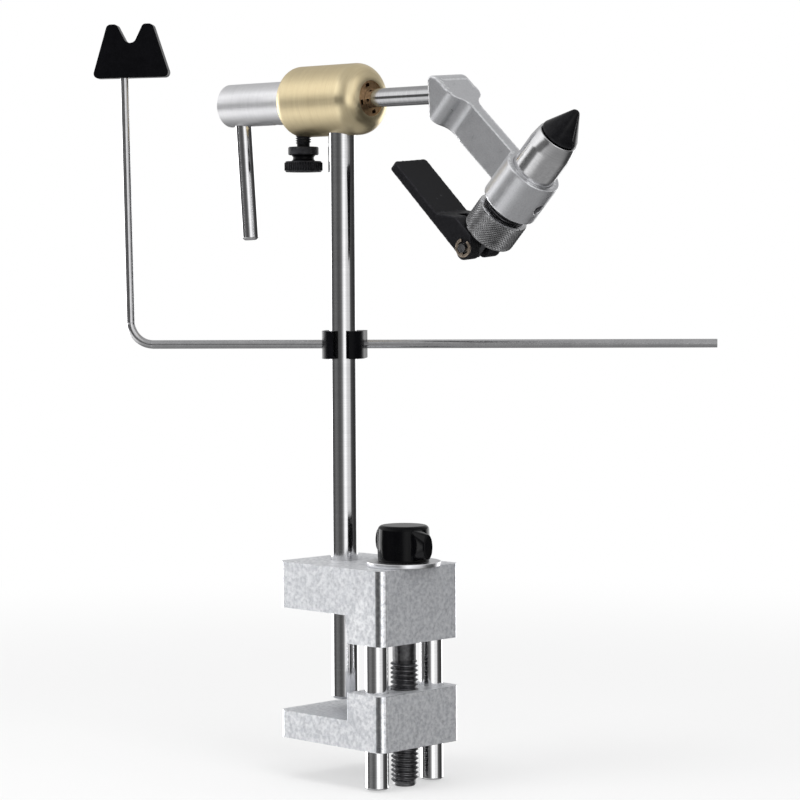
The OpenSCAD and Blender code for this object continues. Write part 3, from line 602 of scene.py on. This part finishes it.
# the jaw body's thread behind the sleeve is darkened with painted shade
bodySteel = turnedMetal(
    "bodySteel", jawPlace, (0.56, 0.56, 0.57), (0.70, 0.70, 0.71), (0.14, 0.20), 4600.0, 0.0012 * mm,
    wear=(0.85, 0.85, 0.86), brushed=0.4, paintedShadeBelow=-7.5 * mm)
# the knurl's steel is darkened with painted shade; the rims keep the plain, brighter steel
knurlShadedSteel = turnedMetal(
    "knurlShadedSteel", jawPlace, (0.14, 0.14, 0.145), (0.23, 0.23, 0.235), (0.20, 0.28), 3600.0, 0.001 * mm,
    wear=(0.85, 0.85, 0.86))
rimSteel = turnedMetal(
    "rimSteel", jawPlace, (0.62, 0.62, 0.63), (0.76, 0.76, 0.77), (0.14, 0.20), 3600.0, 0.0006 * mm,
    brushed=0.3)
washerSteel = turnedMetal(
    "washerSteel", screwPlace, (0.66, 0.67, 0.69), (0.80, 0.81, 0.83), (0.26, 0.36), 2200.0, 0.002 * mm,
    drift=0.6, wear=(0.9, 0.9, 0.92))
blackOxide = darkCoat(
    "blackOxide", screwPlace, (0.035, 0.035, 0.037), (0.075, 0.075, 0.078), (0.28, 0.42), 1800.0, 0.003 * mm,
    metal=1.0, wear=(0.34, 0.34, 0.35))
knobBlack = darkCoat(
    "knobBlack", screwPlace, (0.0015, 0.0015, 0.002), (0.0035, 0.0035, 0.004), (0.07, 0.12), 700.0, 0.0006 * mm,
    level=0.1)
leverBlack = darkCoat(
    "leverBlack", jawPlace, (0.004, 0.004, 0.005), (0.009, 0.009, 0.011), (0.42, 0.54), 2600.0, 0.003 * mm,
    wear=(0.04, 0.04, 0.045), level=0.12)
jawBlack = darkCoat(
    "jawBlack", jawPlace, (0.002, 0.002, 0.0025), (0.005, 0.005, 0.006), (0.14, 0.24), 2600.0, 0.001 * mm,
    wear=(0.03, 0.03, 0.033), level=0.1, rings=3600.0)
thumbBlack = darkCoat(
    "thumbBlack", dragPlace, (0.002, 0.002, 0.0025), (0.005, 0.005, 0.006), (0.3, 0.45), 2200.0, 0.002 * mm,
    wear=(0.05, 0.05, 0.055), level=0.08)
restBlack = darkCoat(
    "restBlack", restPlace, (0.002, 0.002, 0.0025), (0.004, 0.004, 0.005), (0.18, 0.28), 1200.0, 0.002 * mm,
    level=0.06)
clipBronze = turnedMetal(
    "clipBronze", jawPlace, (0.10, 0.08, 0.06), (0.30, 0.24, 0.19), (0.3, 0.42), 1500.0, 0.001 * mm,
    drift=1.0, wear=(0.5, 0.42, 0.34))
discRed = darkCoat(
    "discRed", headAxisPlace, (0.12, 0.008, 0.006), (0.24, 0.02, 0.014), (0.45, 0.6), 2400.0, 0.01 * mm)
padWhite = darkCoat(
    "padWhite", dragPlace, (0.66, 0.65, 0.61), (0.78, 0.77, 0.73), (0.4, 0.5), 1500.0, 0.004 * mm)
springSteel = turnedMetal(
    "springSteel", jawPlace, (0.36, 0.36, 0.37), (0.54, 0.54, 0.55), (0.2, 0.3), 2600.0, 0.001 * mm,
    drift=1.0)
print("materials made:", len(bpy.data.materials))


# how pieces are made, where a piece doesn't say otherwise (angles are in degrees)
making = {
    "weld": 0.001 * mm, "copyWeld": 0.002 * mm, "steps": 2, "edgeAbove": 30, "smoothBelow": 32,
    "flatWithin": 1.0, "flatWeight": 80, "blend": 0.5,
}


def pickNothing():
    if bpy.context.object and bpy.context.object.mode != "OBJECT":
        bpy.ops.object.mode_set(mode="OBJECT")
    bpy.ops.object.select_all(action="DESELECT")


def pick(piece):
    pickNothing()
    piece.select_set(True)
    bpy.context.view_layer.objects.active = piece


def edit(piece, choose="SELECT"):
    pick(piece)
    bpy.ops.object.mode_set(mode="EDIT")
    bpy.ops.mesh.select_all(action=choose)


def leave():
    bpy.ops.object.mode_set(mode="OBJECT")


def useModifier(piece, kind, **settings):
    pick(piece)
    modifier = piece.modifiers.new(kind.lower(), kind)
    for key, value in settings.items():
        setattr(modifier, key, value)
    bpy.ops.object.modifier_apply(modifier=modifier.name)


def settle(piece, place):
    pick(piece)
    piece.matrix_world = place
    bpy.ops.object.transform_apply(location=True, rotation=True, scale=True)


def tidyMesh(piece, gap=making["weld"]):
    edit(piece)
    bpy.ops.mesh.remove_doubles(threshold=gap)
    bpy.ops.mesh.normals_make_consistent(inside=False)
    leave()


def finishPiece(piece, body, finish, stands, angle=making["smoothBelow"]):
    pick(piece)
    bpy.ops.object.shade_smooth_by_angle(angle=math.radians(angle))
    if piece.get("flatFaces"):
        # the broken edges mustn't tilt the shading of the flats beside them
        del piece["flatFaces"]
        useModifier(piece, "WEIGHTED_NORMAL", weight=making["flatWeight"], keep_sharp=True)
    piece.data.materials.clear()
    piece.data.materials.append(finish)
    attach(piece, body)
    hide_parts(*stands)


def softCopy(node, width, steps=making["steps"], limit=making["edgeAbove"], flat=making["flatWithin"]):
    # a copy of a node with its flats cleaned up and its edges broken
    piece = bpy.data.objects.new(node + "Dressed", nodes[node].data.copy())
    scene.collection.objects.link(piece)
    edit(piece)
    bpy.ops.mesh.customdata_custom_splitnormals_clear()
    bpy.ops.mesh.remove_doubles(threshold=making["copyWeld"])
    if flat:
        bpy.ops.mesh.dissolve_limited(angle_limit=math.radians(flat), delimit=set())
    leave()
    if width:
        useModifier(piece, "BEVEL", width=width, segments=steps, limit_method="ANGLE",
                    angle_limit=math.radians(limit), use_clamp_overlap=True, miter_outer="MITER_ARC")
        piece["flatFaces"] = True
    return piece


def dressNodes(rows):
    # nodes whose shape is right as it is: their edges are broken and they get their finish
    # a row holds node, body, finish, slot, width of the broken edges, and what differs from the usual
    for node, body, finish, slot, edge, *different in rows:
        look = dict(making)
        look.update(*different)
        piece = softCopy(node, edge, look["steps"], look["edgeAbove"])
        finishPiece(piece, body, finish, [node], look["smoothBelow"])


def blendedCopy(node, voxel, rounds, flat=0.0):
    # a copy of a node whose faces flow into each other, as cast or moulded
    piece = softCopy(node, 0, flat=flat)
    useModifier(piece, "REMESH", mode="VOXEL", voxel_size=voxel, use_smooth_shade=True)
    useModifier(piece, "SMOOTH", factor=making["blend"], iterations=rounds)
    return piece


def startPoint(name):
    pickNothing()
    bpy.ops.mesh.primitive_plane_add(size=mm, location=(0, 0, 0))
    piece = bpy.context.object
    piece.name = name
    return piece


def startRing(name, count, radius, height=0):
    pickNothing()
    bpy.ops.mesh.primitive_circle_add(vertices=count, radius=radius, location=(0, 0, height))
    piece = bpy.context.object
    piece.name = name
    return piece


def turnProfile(name, points, steps=96):
    # a turned piece: its outline is drawn a point at a time in X and Z, then spun round Z
    piece = startPoint(name)
    edit(piece)
    bpy.ops.mesh.merge(type="CENTER")
    bpy.ops.transform.translate(value=(points[0][0], 0, points[0][1]))
    for before, after in zip(points, points[1:]):
        bpy.ops.mesh.extrude_vertices_move(
            TRANSFORM_OT_translate={"value": (after[0] - before[0], 0, after[1] - before[1])})
    bpy.ops.mesh.select_all(action="SELECT")
    bpy.ops.mesh.spin(steps=steps, angle=2 * math.pi, center=(0, 0, 0), axis=(0, 0, 1))
    leave()
    tidyMesh(piece)
    return piece


def arcPoints(centre, radius, start, stop, steps):
    turns = (math.radians(start + (stop - start) * i / steps) for i in range(steps + 1))
    return [(centre[0] + radius * math.cos(turn), centre[1] + radius * math.sin(turn)) for turn in turns]


ridgeLook = {"sunk": 0.06 * mm, "crest": 0.12, "runOut": 0.9, "steps": 48}


def threadRidge(name, radius, depth, pitch, top, turns):
    # one ridge wound down from the top, its root sunk a little into the core
    s = ridgeLook
    root = radius - depth - s["sunk"]
    crest = s["crest"] * pitch / 2
    half = pitch * (0.5 - s["crest"] / 2)
    section = [(root, -half), (radius, -crest), (radius, crest), (root, half)]
    piece = startPoint(name)
    for v, (x, z) in zip(piece.data.vertices, [section[0], section[3], section[1], section[2]]):
        v.co = (x, 0, top - half + z)
    edit(piece)
    bpy.ops.mesh.delete(type="ONLY_FACE")
    leave()
    useModifier(piece, "SCREW", screw_offset=-pitch, iterations=max(1, int(turns)), steps=s["steps"],
                render_steps=s["steps"], axis="Z")
    low = min(v.co.z for v in piece.data.vertices)
    high = max(v.co.z for v in piece.data.vertices)
    # the ridge runs out into the core at both ends
    length = pitch * s["runOut"]
    for v in piece.data.vertices:
        reach = math.hypot(v.co.x, v.co.y)
        share = min(1.0, (v.co.z - low) / length, (high - v.co.z) / length)
        wanted = root + (reach - root) * max(0.0, share)
        v.co.x *= wanted / reach
        v.co.y *= wanted / reach
    edit(piece)
    bpy.ops.mesh.fill_holes(sides=6)
    leave()
    tidyMesh(piece)
    return piece


def joinTo(piece, *others):
    pick(piece)
    for other in others:
        other.select_set(True)
    bpy.context.view_layer.objects.active = piece
    bpy.ops.object.join()
    return piece


# clamp
dressNodes([
    ("upper_jaw", "clamp", clampAlloy, "tumbled_aluminium", 0.35 * mm),
    ("lower_jaw", "lower_jaw", clampAlloy, "tumbled_aluminium", 0.35 * mm),
    ("guide_rods", "clamp", rodSteel, "polished_steel", 0.12 * mm),
    ("thrust_washer", "clamp", washerSteel, "washer_steel", 0.3 * mm),
    ("stem_set_screw", "clamp", blackOxide, "black_oxide_steel", 0.1 * mm),
])
print("clamp jaws, rods and washer made")

clampScrew = {
    "radius": 4.7 * mm, "shank": 4.0 * mm, "depth": 0.85 * mm, "pitch": 1.5875 * mm, "end": -59.1 * mm,
    "threadTop": -15.74 * mm, "relief": 0.6 * mm, "top": 27.0 * mm, "nose": 0.5 * mm, "smoothBelow": 40,
}


def makeClampScrew():
    s = clampScrew
    core = s["radius"] - s["depth"]
    body = turnProfile("clampScrewDressed", [
        (0, s["end"]), (core - s["nose"], s["end"]), (core, s["end"] + s["nose"]),
        (core, s["threadTop"] - s["relief"]), (s["shank"], s["threadTop"]),
        (s["shank"], s["top"]), (0, s["top"])])
    turns = round((s["threadTop"] - s["end"] - s["nose"]) / s["pitch"]) - 1
    ridge = threadRidge("clampThread", s["radius"], s["depth"], s["pitch"], s["threadTop"], turns)
    joinTo(body, ridge)
    settle(body, screwPlace)
    finishPiece(body, "clamp_screw", blackOxide, ["clamp_screw"], s["smoothBelow"])


makeClampScrew()

knob = {"voxel": 0.22 * mm, "rounds": 7, "flatWithin": 1.0, "smoothBelow": 180}
piece = blendedCopy("clamp_knob", knob["voxel"], knob["rounds"], knob["flatWithin"])
finishPiece(piece, "clamp_screw", knobBlack, ["clamp_knob"], knob["smoothBelow"])
print("clamp screw and knob made")


# stem and head
dressNodes([
    ("stem", "stem", stemSteel, "polished_steel", 0.15 * mm),
    ("head_housing", "head", brassSkin, "brass", 0.12 * mm, {"edgeAbove": 40, "smoothBelow": 40}),
    ("front_bush", "head", bushBronze, "bronze", 0.2 * mm),
    ("rear_bush", "head", bushBronze, "bronze", 0.1 * mm),
    ("friction_washer", "head", discRed, "red_fibre", 0.1 * mm),
    ("drag_pad", "drag_pad", padWhite, "nylon", 0.2 * mm),
    ("rear_hub", "rotor", hubAlloy, "turned_aluminium", 0.15 * mm),
    ("hub_set_screw", "rotor", blackOxide, "black_oxide_steel", 0.1 * mm),
    ("crank_handle", "rotor", handleSteel, "polished_steel", 0.2 * mm),
    ("rotary_shaft", "rotor", shaftSteel, "polished_steel", 0.1 * mm),
])
print("stem and head made")

thumbScrew = {
    "thread": 2.7 * mm, "core": 2.25 * mm, "pitch": 0.8 * mm, "top": -5.325 * mm, "collarTop": -15.55 * mm,
    "collar": 5.3 * mm, "collarHeight": 2.8 * mm, "collarEdge": 0.3 * mm,
    "neck": 3.65 * mm, "neckHeight": 2.2 * mm, "neckFlare": 0.5 * mm, "neckStep": 0.1 * mm, "neckBand": 0.4 * mm,
    "head": 6.65 * mm, "headHeight": 3.7 * mm, "ridges": 44, "ridgeDepth": 0.22 * mm, "edge": 0.5 * mm,
    "dish": (0.6, 0.55), "dishDepth": 0.3 * mm, "steps": 88, "smoothBelow": 25,
}


def ridgedBand(name, radius, low, high, count, depth, rows=2):
    # straight knurl: every other upright line stands proud
    piece = startRing(name, 2 * count, radius, low)
    edit(piece)
    for _ in range(rows):
        bpy.ops.mesh.extrude_edges_move(TRANSFORM_OT_translate={"value": (0, 0, (high - low) / rows)})
    leave()
    for v in piece.data.vertices:
        turn = math.atan2(v.co.y, v.co.x) / (2 * math.pi) * 2 * count
        if round(turn) % 2:
            v.co.x *= (radius - depth) / radius
            v.co.y *= (radius - depth) / radius
    edit(piece)
    bpy.ops.mesh.normals_make_consistent(inside=False)
    leave()
    return piece


def makeThumbScrew():
    s = thumbScrew
    collarLow = s["collarTop"] - s["collarHeight"]
    neckLow = collarLow - s["neckHeight"]
    low = neckLow - s["headHeight"]
    edge = s["edge"]
    soft = s["collarEdge"]
    inner = s["head"] - s["ridgeDepth"]
    waist = (collarLow + neckLow) / 2
    dish = low + s["dishDepth"]
    outline = [(0, s["top"]), (s["core"], s["top"]), (s["core"], s["collarTop"]),
               (s["collar"] - soft, s["collarTop"]), (s["collar"], s["collarTop"] - soft),
               (s["collar"], collarLow + soft), (s["collar"] - soft, collarLow),
               (s["neck"] + s["neckFlare"], collarLow - s["neckStep"]),
               (s["neck"], waist + s["neckBand"]), (s["neck"], waist - s["neckBand"]),
               (s["neck"] + s["neckFlare"], neckLow + s["neckStep"]),
               (s["head"] - edge, neckLow), (inner, neckLow - edge), (inner, low + edge), (s["head"] - edge, low),
               (s["head"] * s["dish"][0], low), (s["head"] * s["dish"][1], dish), (0, dish)]
    body = turnProfile("thumbScrewDressed", outline, s["steps"])
    band = ridgedBand("thumbKnurl", s["head"], low + edge, neckLow - edge, s["ridges"], s["ridgeDepth"] * 1.2)
    turns = int((s["top"] - s["collarTop"]) / s["pitch"]) - 1
    ridge = threadRidge("thumbThread", s["thread"], s["thread"] - s["core"], s["pitch"], s["top"], turns)
    joinTo(body, band, ridge)
    settle(body, dragPlace)
    finishPiece(body, "drag_screw", thumbBlack, ["drag_screw"], s["smoothBelow"])


makeThumbScrew()
print("thumb screw made")


# arm and jaw
arm = {"voxel": 0.26 * mm, "rounds": 4, "blockRounds": 24, "blockEnd": 53 * mm, "smoothBelow": 60}
piece = blendedCopy("jaw_arm", arm["voxel"], arm["rounds"])
# the block on the shaft is rounded more than the rest
block = piece.vertex_groups.new(name="block")
toRotor = rotorPlace.inverted()
block.add([v.index for v in piece.data.vertices if (toRotor @ v.co).x < arm["blockEnd"]], 1.0, "REPLACE")
useModifier(piece, "SMOOTH", factor=making["blend"], iterations=arm["blockRounds"], vertex_group="block")
finishPiece(piece, "rotor", armAlloy, ["jaw_arm"], arm["smoothBelow"])
dressNodes([
    ("arm_set_screw", "rotor", blackOxide, "black_oxide_steel", 0.1 * mm),
    ("jaw_set_screw", "rotor", blackOxide, "black_oxide_steel", 0.1 * mm),
])
print("arm made")

jawBody = {
    "radius": 7.6 * mm, "nose": 6.9 * mm, "front": 22.75 * mm, "taper": 5.1 * mm, "waistEdge": 0.4 * mm,
    "noseEdge": 0.3 * mm, "noseStart": 0.35 * mm, "noseSteps": 8, "straightShare": 0.75,
    "mouth": 5.9 * mm, "mouthDepth": 9.3 * mm, "mouthEdge": 0.15 * mm,
    "chamber": 4.6 * mm, "chamberRear": -6.6 * mm, "bore": 2.5 * mm, "neck": 7.2 * mm, "neckDepth": 0.5 * mm,
    "neckEdge": 0.3 * mm, "neckRelief": 0.1 * mm, "neckPitch": 1.0 * mm, "sleeveRear": -7.45 * mm,
    "end": -19.55 * mm, "steps": 128, "smoothBelow": 28,
}


def makeJawBody():
    s = jawBody
    core = s["neck"] - s["neckDepth"]
    outline = [(s["bore"], s["end"]), (core - s["neckEdge"], s["end"]), (core, s["end"] + s["neckEdge"]),
               (core, s["sleeveRear"] - s["neckRelief"]), (s["radius"], s["sleeveRear"]),
               (s["radius"], s["front"] - s["taper"] - s["waistEdge"])]
    # the waist line, then the nose draws in on a shallow curve
    start = s["front"] - s["taper"]
    for i in range(s["noseSteps"] + 1):
        share = i / s["noseSteps"]
        bend = s["straightShare"] * share + (1 - s["straightShare"]) * share ** 3
        drop = (s["radius"] - s["nose"]) * bend
        outline.append((s["radius"] - drop, start + share * (s["taper"] - s["noseStart"])))
    outline += arcPoints((s["nose"] - s["noseEdge"], s["front"] - s["noseEdge"]), s["noseEdge"], 15, 90, 4)
    mouthFloor = s["front"] - s["mouthDepth"]
    outline += [(s["mouth"] + s["mouthEdge"], s["front"]), (s["mouth"], s["front"] - s["mouthEdge"]),
                (s["mouth"], mouthFloor), (s["chamber"], mouthFloor), (s["chamber"], s["chamberRear"]),
                (s["bore"], s["chamberRear"]), (s["bore"], s["end"])]
    body = turnProfile("jawBodyDressed", outline, s["steps"])
    turns = int((s["sleeveRear"] - s["end"]) / s["neckPitch"]) - 1
    ridge = threadRidge("neckThread", s["neck"], s["neckDepth"], s["neckPitch"], s["sleeveRear"], turns)
    joinTo(body, ridge)
    settle(body, jawPlace)
    finishPiece(body, "rotor", bodySteel, ["jaw_body"], s["smoothBelow"])


makeJawBody()

halfJaws = {
    "base": 23.05 * mm, "length": 11 * mm, "rim": 1 * mm, "radius": 6.4 * mm, "tip": 1.7 * mm, "rimEdge": 0.3 * mm,
    "tail": 5.2 * mm, "tailRear": 15.05 * mm, "slit": 0.15 * mm, "edge": 0.1 * mm, "edgeAbove": 60, "steps": 128,
    "smoothBelow": 40,
}


def makeHalfJaw(node, side):
    # a turned cone and tail, cut along the slit
    s = halfJaws
    top = s["base"] + s["length"]
    rimTop = s["base"] + s["rim"]
    edge = s["rimEdge"]
    outline = [(0, s["tailRear"]), (s["tail"], s["tailRear"]), (s["tail"], s["base"]),
               (s["radius"] - edge, s["base"]), (s["radius"], s["base"] + edge),
               (s["radius"], rimTop - edge / 2), (s["radius"] - edge / 4, rimTop + edge / 2)]
    outline += arcPoints((0, top - s["tip"]), s["tip"], 30, 90, 10)
    piece = turnProfile(node + "Dressed", outline, s["steps"])
    edit(piece)
    bpy.ops.mesh.bisect(plane_co=(0, side * s["slit"], 0), plane_no=(0, side, 0), use_fill=True, clear_inner=True)
    leave()
    tidyMesh(piece)
    useModifier(piece, "BEVEL", width=s["edge"], segments=2, limit_method="ANGLE",
                angle_limit=math.radians(s["edgeAbove"]))
    settle(piece, jawPlace)
    finishPiece(piece, node, jawBlack, [node], s["smoothBelow"])


makeHalfJaw("near_jaw", -1)
makeHalfJaw("far_jaw", 1)
print("jaw body and jaws made")

adjuster = {
    "radius": 9.1 * mm, "front": -10.75 * mm, "rear": -21.65 * mm, "bore": 2.5 * mm, "thread": 7.3 * mm,
    "threadEdge": 0.15 * mm, "floor": 1.8 * mm, "around": 52, "rows": 9, "depth": 0.32 * mm,
    "rearDraw": 0.8 * mm, "rearShoulder": 1.2 * mm, "rearFlat": 1.92 * mm, "rearLift": 0.12 * mm,
    "frontDraw": 0.4 * mm, "frontShoulder": 0.88 * mm, "frontFlat": 1.04 * mm, "frontLift": 0.06 * mm,
    "steps": 128, "weld": 0.004 * mm, "smoothBelow": 20,
}


def diamondBand(name, radius, low, high, around, rows, depth):
    # diamond knurl: a net of quads is split once, and its corners and middles stand proud
    piece = startRing(name, around, radius - depth)
    edit(piece)
    for _ in range(rows):
        bpy.ops.mesh.extrude_edges_move(TRANSFORM_OT_translate={"value": (0, 0, (high - low) / rows)})
    bpy.ops.mesh.select_all(action="SELECT")
    bpy.ops.mesh.subdivide(number_cuts=1)
    bpy.ops.transform.translate(value=(0, 0, low))
    leave()
    step = (high - low) / rows / 2
    for v in piece.data.vertices:
        turn = round(math.atan2(v.co.y, v.co.x) / (2 * math.pi) * 2 * around)
        level = round((v.co.z - low) / step)
        reach = math.hypot(v.co.x, v.co.y)
        edgeRow = level == 0 or level == 2 * rows
        wanted = radius if (turn + level) % 2 == 0 and not edgeRow else radius - depth
        v.co.x *= wanted / reach
        v.co.y *= wanted / reach
    edit(piece)
    bpy.ops.mesh.quads_convert_to_tris(quad_method="SHORTEST_DIAGONAL")
    bpy.ops.mesh.normals_make_consistent(inside=False)
    leave()
    return piece


def makeAdjuster():
    s = adjuster
    inner = s["radius"] - s["depth"]
    knurlRear, knurlFront = s["rear"] + s["rearDraw"], s["front"] - s["frontDraw"]
    cupFloor = s["rear"] + s["floor"]
    back = turnProfile("adjusterBack", [
        (s["bore"], s["rear"]), (s["radius"] - s["rearFlat"], s["rear"]),
        (s["radius"] - s["rearShoulder"], s["rear"] + s["rearLift"]), (inner, knurlRear)], s["steps"])
    front = turnProfile("adjusterFront", [
        (inner, knurlFront), (s["radius"] - s["frontShoulder"], s["front"] - s["frontLift"]),
        (s["radius"] - s["frontFlat"], s["front"]), (s["thread"] + s["threadEdge"], s["front"]),
        (s["thread"], s["front"] - s["threadEdge"]), (s["thread"], cupFloor),
        (s["bore"], cupFloor), (s["bore"], s["rear"])], s["steps"])
    band = diamondBand("adjusterKnurl", s["radius"], knurlRear, knurlFront, s["around"], s["rows"], s["depth"])
    joinTo(back, front, band)
    back.name = "adjusterDressed"
    tidyMesh(back, s["weld"])
    settle(back, jawPlace)
    finishPiece(back, "adjusting_knob", knurlShadedSteel, ["adjusting_knob"], s["smoothBelow"])
    # the rims in front of and behind the knurl keep the plain steel, brighter than the knurl's painted shade
    back.data.materials.append(rimSteel)
    toJaw = jawPlace.inverted()
    for face in back.data.polygons:
        along = (toJaw @ face.center).z
        if along < knurlRear or along > knurlFront:
            face.material_index = 1


makeAdjuster()

lever = {"voxel": 0.24 * mm, "rounds": 4, "smoothBelow": 60}
piece = blendedCopy("cam_lever", lever["voxel"], lever["rounds"])
finishPiece(piece, "cam_lever", leverBlack, ["cam_lever"], lever["smoothBelow"])
dressNodes([("cam_pin", "draw_rod", blackOxide, "black_oxide_steel", 0.12 * mm)])

ringClip = {
    "outer": 3.1 * mm, "inner": 2.2 * mm, "prong": 1.16 * mm, "thick": 0.58 * mm, "gap": 24,
    "prongs": (90, 180, 270), "prongHalf": 13, "turn": 118, "out": 8.36 * mm, "pinBack": 26.85 * mm,
    "count": 72, "edge": 0.12 * mm, "edgeAbove": 50, "weld": 0.0005 * mm, "smoothBelow": 30,
}


def makeRingClips():
    # a flat ring with a mouth and three prongs that reach into the pin's groove, at both ends of the pin
    s = ringClip
    clip = startRing("ringClipsDressed", s["count"], s["outer"])
    edit(clip)
    bpy.ops.mesh.extrude_edges_move()
    leave()
    for v in clip.data.vertices[s["count"]:]:
        turn = math.degrees(math.atan2(v.co.y, v.co.x)) % 360
        near = min(abs(turn - spot) for spot in s["prongs"])
        reach = s["prong"] if near < s["prongHalf"] else s["inner"]
        v.co *= reach / v.co.length
    edit(clip, "DESELECT")
    bpy.ops.mesh.select_mode(type="FACE")
    leave()
    for face in clip.data.polygons:
        turn = math.degrees(math.atan2(face.center.y, face.center.x))
        face.select = abs(turn) < s["gap"]
    bpy.ops.object.mode_set(mode="EDIT")
    bpy.ops.mesh.delete(type="FACE")
    bpy.ops.mesh.select_all(action="SELECT")
    bpy.ops.mesh.extrude_region_move(TRANSFORM_OT_translate={"value": (0, 0, s["thick"])})
    leave()
    tidyMesh(clip, s["weld"])
    useModifier(clip, "BEVEL", width=s["edge"], segments=2, limit_method="ANGLE",
                angle_limit=math.radians(s["edgeAbove"]))
    other = clip.copy()
    other.data = clip.data.copy()
    scene.collection.objects.link(other)
    pinPlace = jawPlace @ Matrix.Translation((0, 0, -s["pinBack"]))
    for piece, side in ((clip, 1), (other, -1)):
        end = pinPlace @ turnAbout("X", 90 * side) @ Matrix.Translation((0, 0, s["out"]))
        settle(piece, end @ turnAbout("Z", s["turn"] * side))
    joinTo(clip, other)
    finishPiece(clip, "draw_rod", clipBronze, ["pin_clips"], s["smoothBelow"])


makeRingClips()
dressNodes([("draw_rod", "draw_rod", bodySteel, "satin_steel", 0.1 * mm)])
# the spring keeps its own shape and only gets its finish
springNode = nodes["return_spring"]
springNode.data.materials.clear()
springNode.data.materials.append(springSteel)
print("adjuster, lever and pin made")


# material rest
dressNodes([
    ("rest_clip", "rest_clip", restBlack, "rest_plastic", 0.55 * mm, {"steps": 3, "smoothBelow": 40}),
    ("rest_head", "rest_rod", restBlack, "rest_plastic", 1.1 * mm,
     {"steps": 4, "edgeAbove": 40, "smoothBelow": 50}),
    ("rest_rod", "rest_rod", restSteel, "polished_steel", 0.25 * mm, {"edgeAbove": 40, "smoothBelow": 40}),
])
print("material rest made")
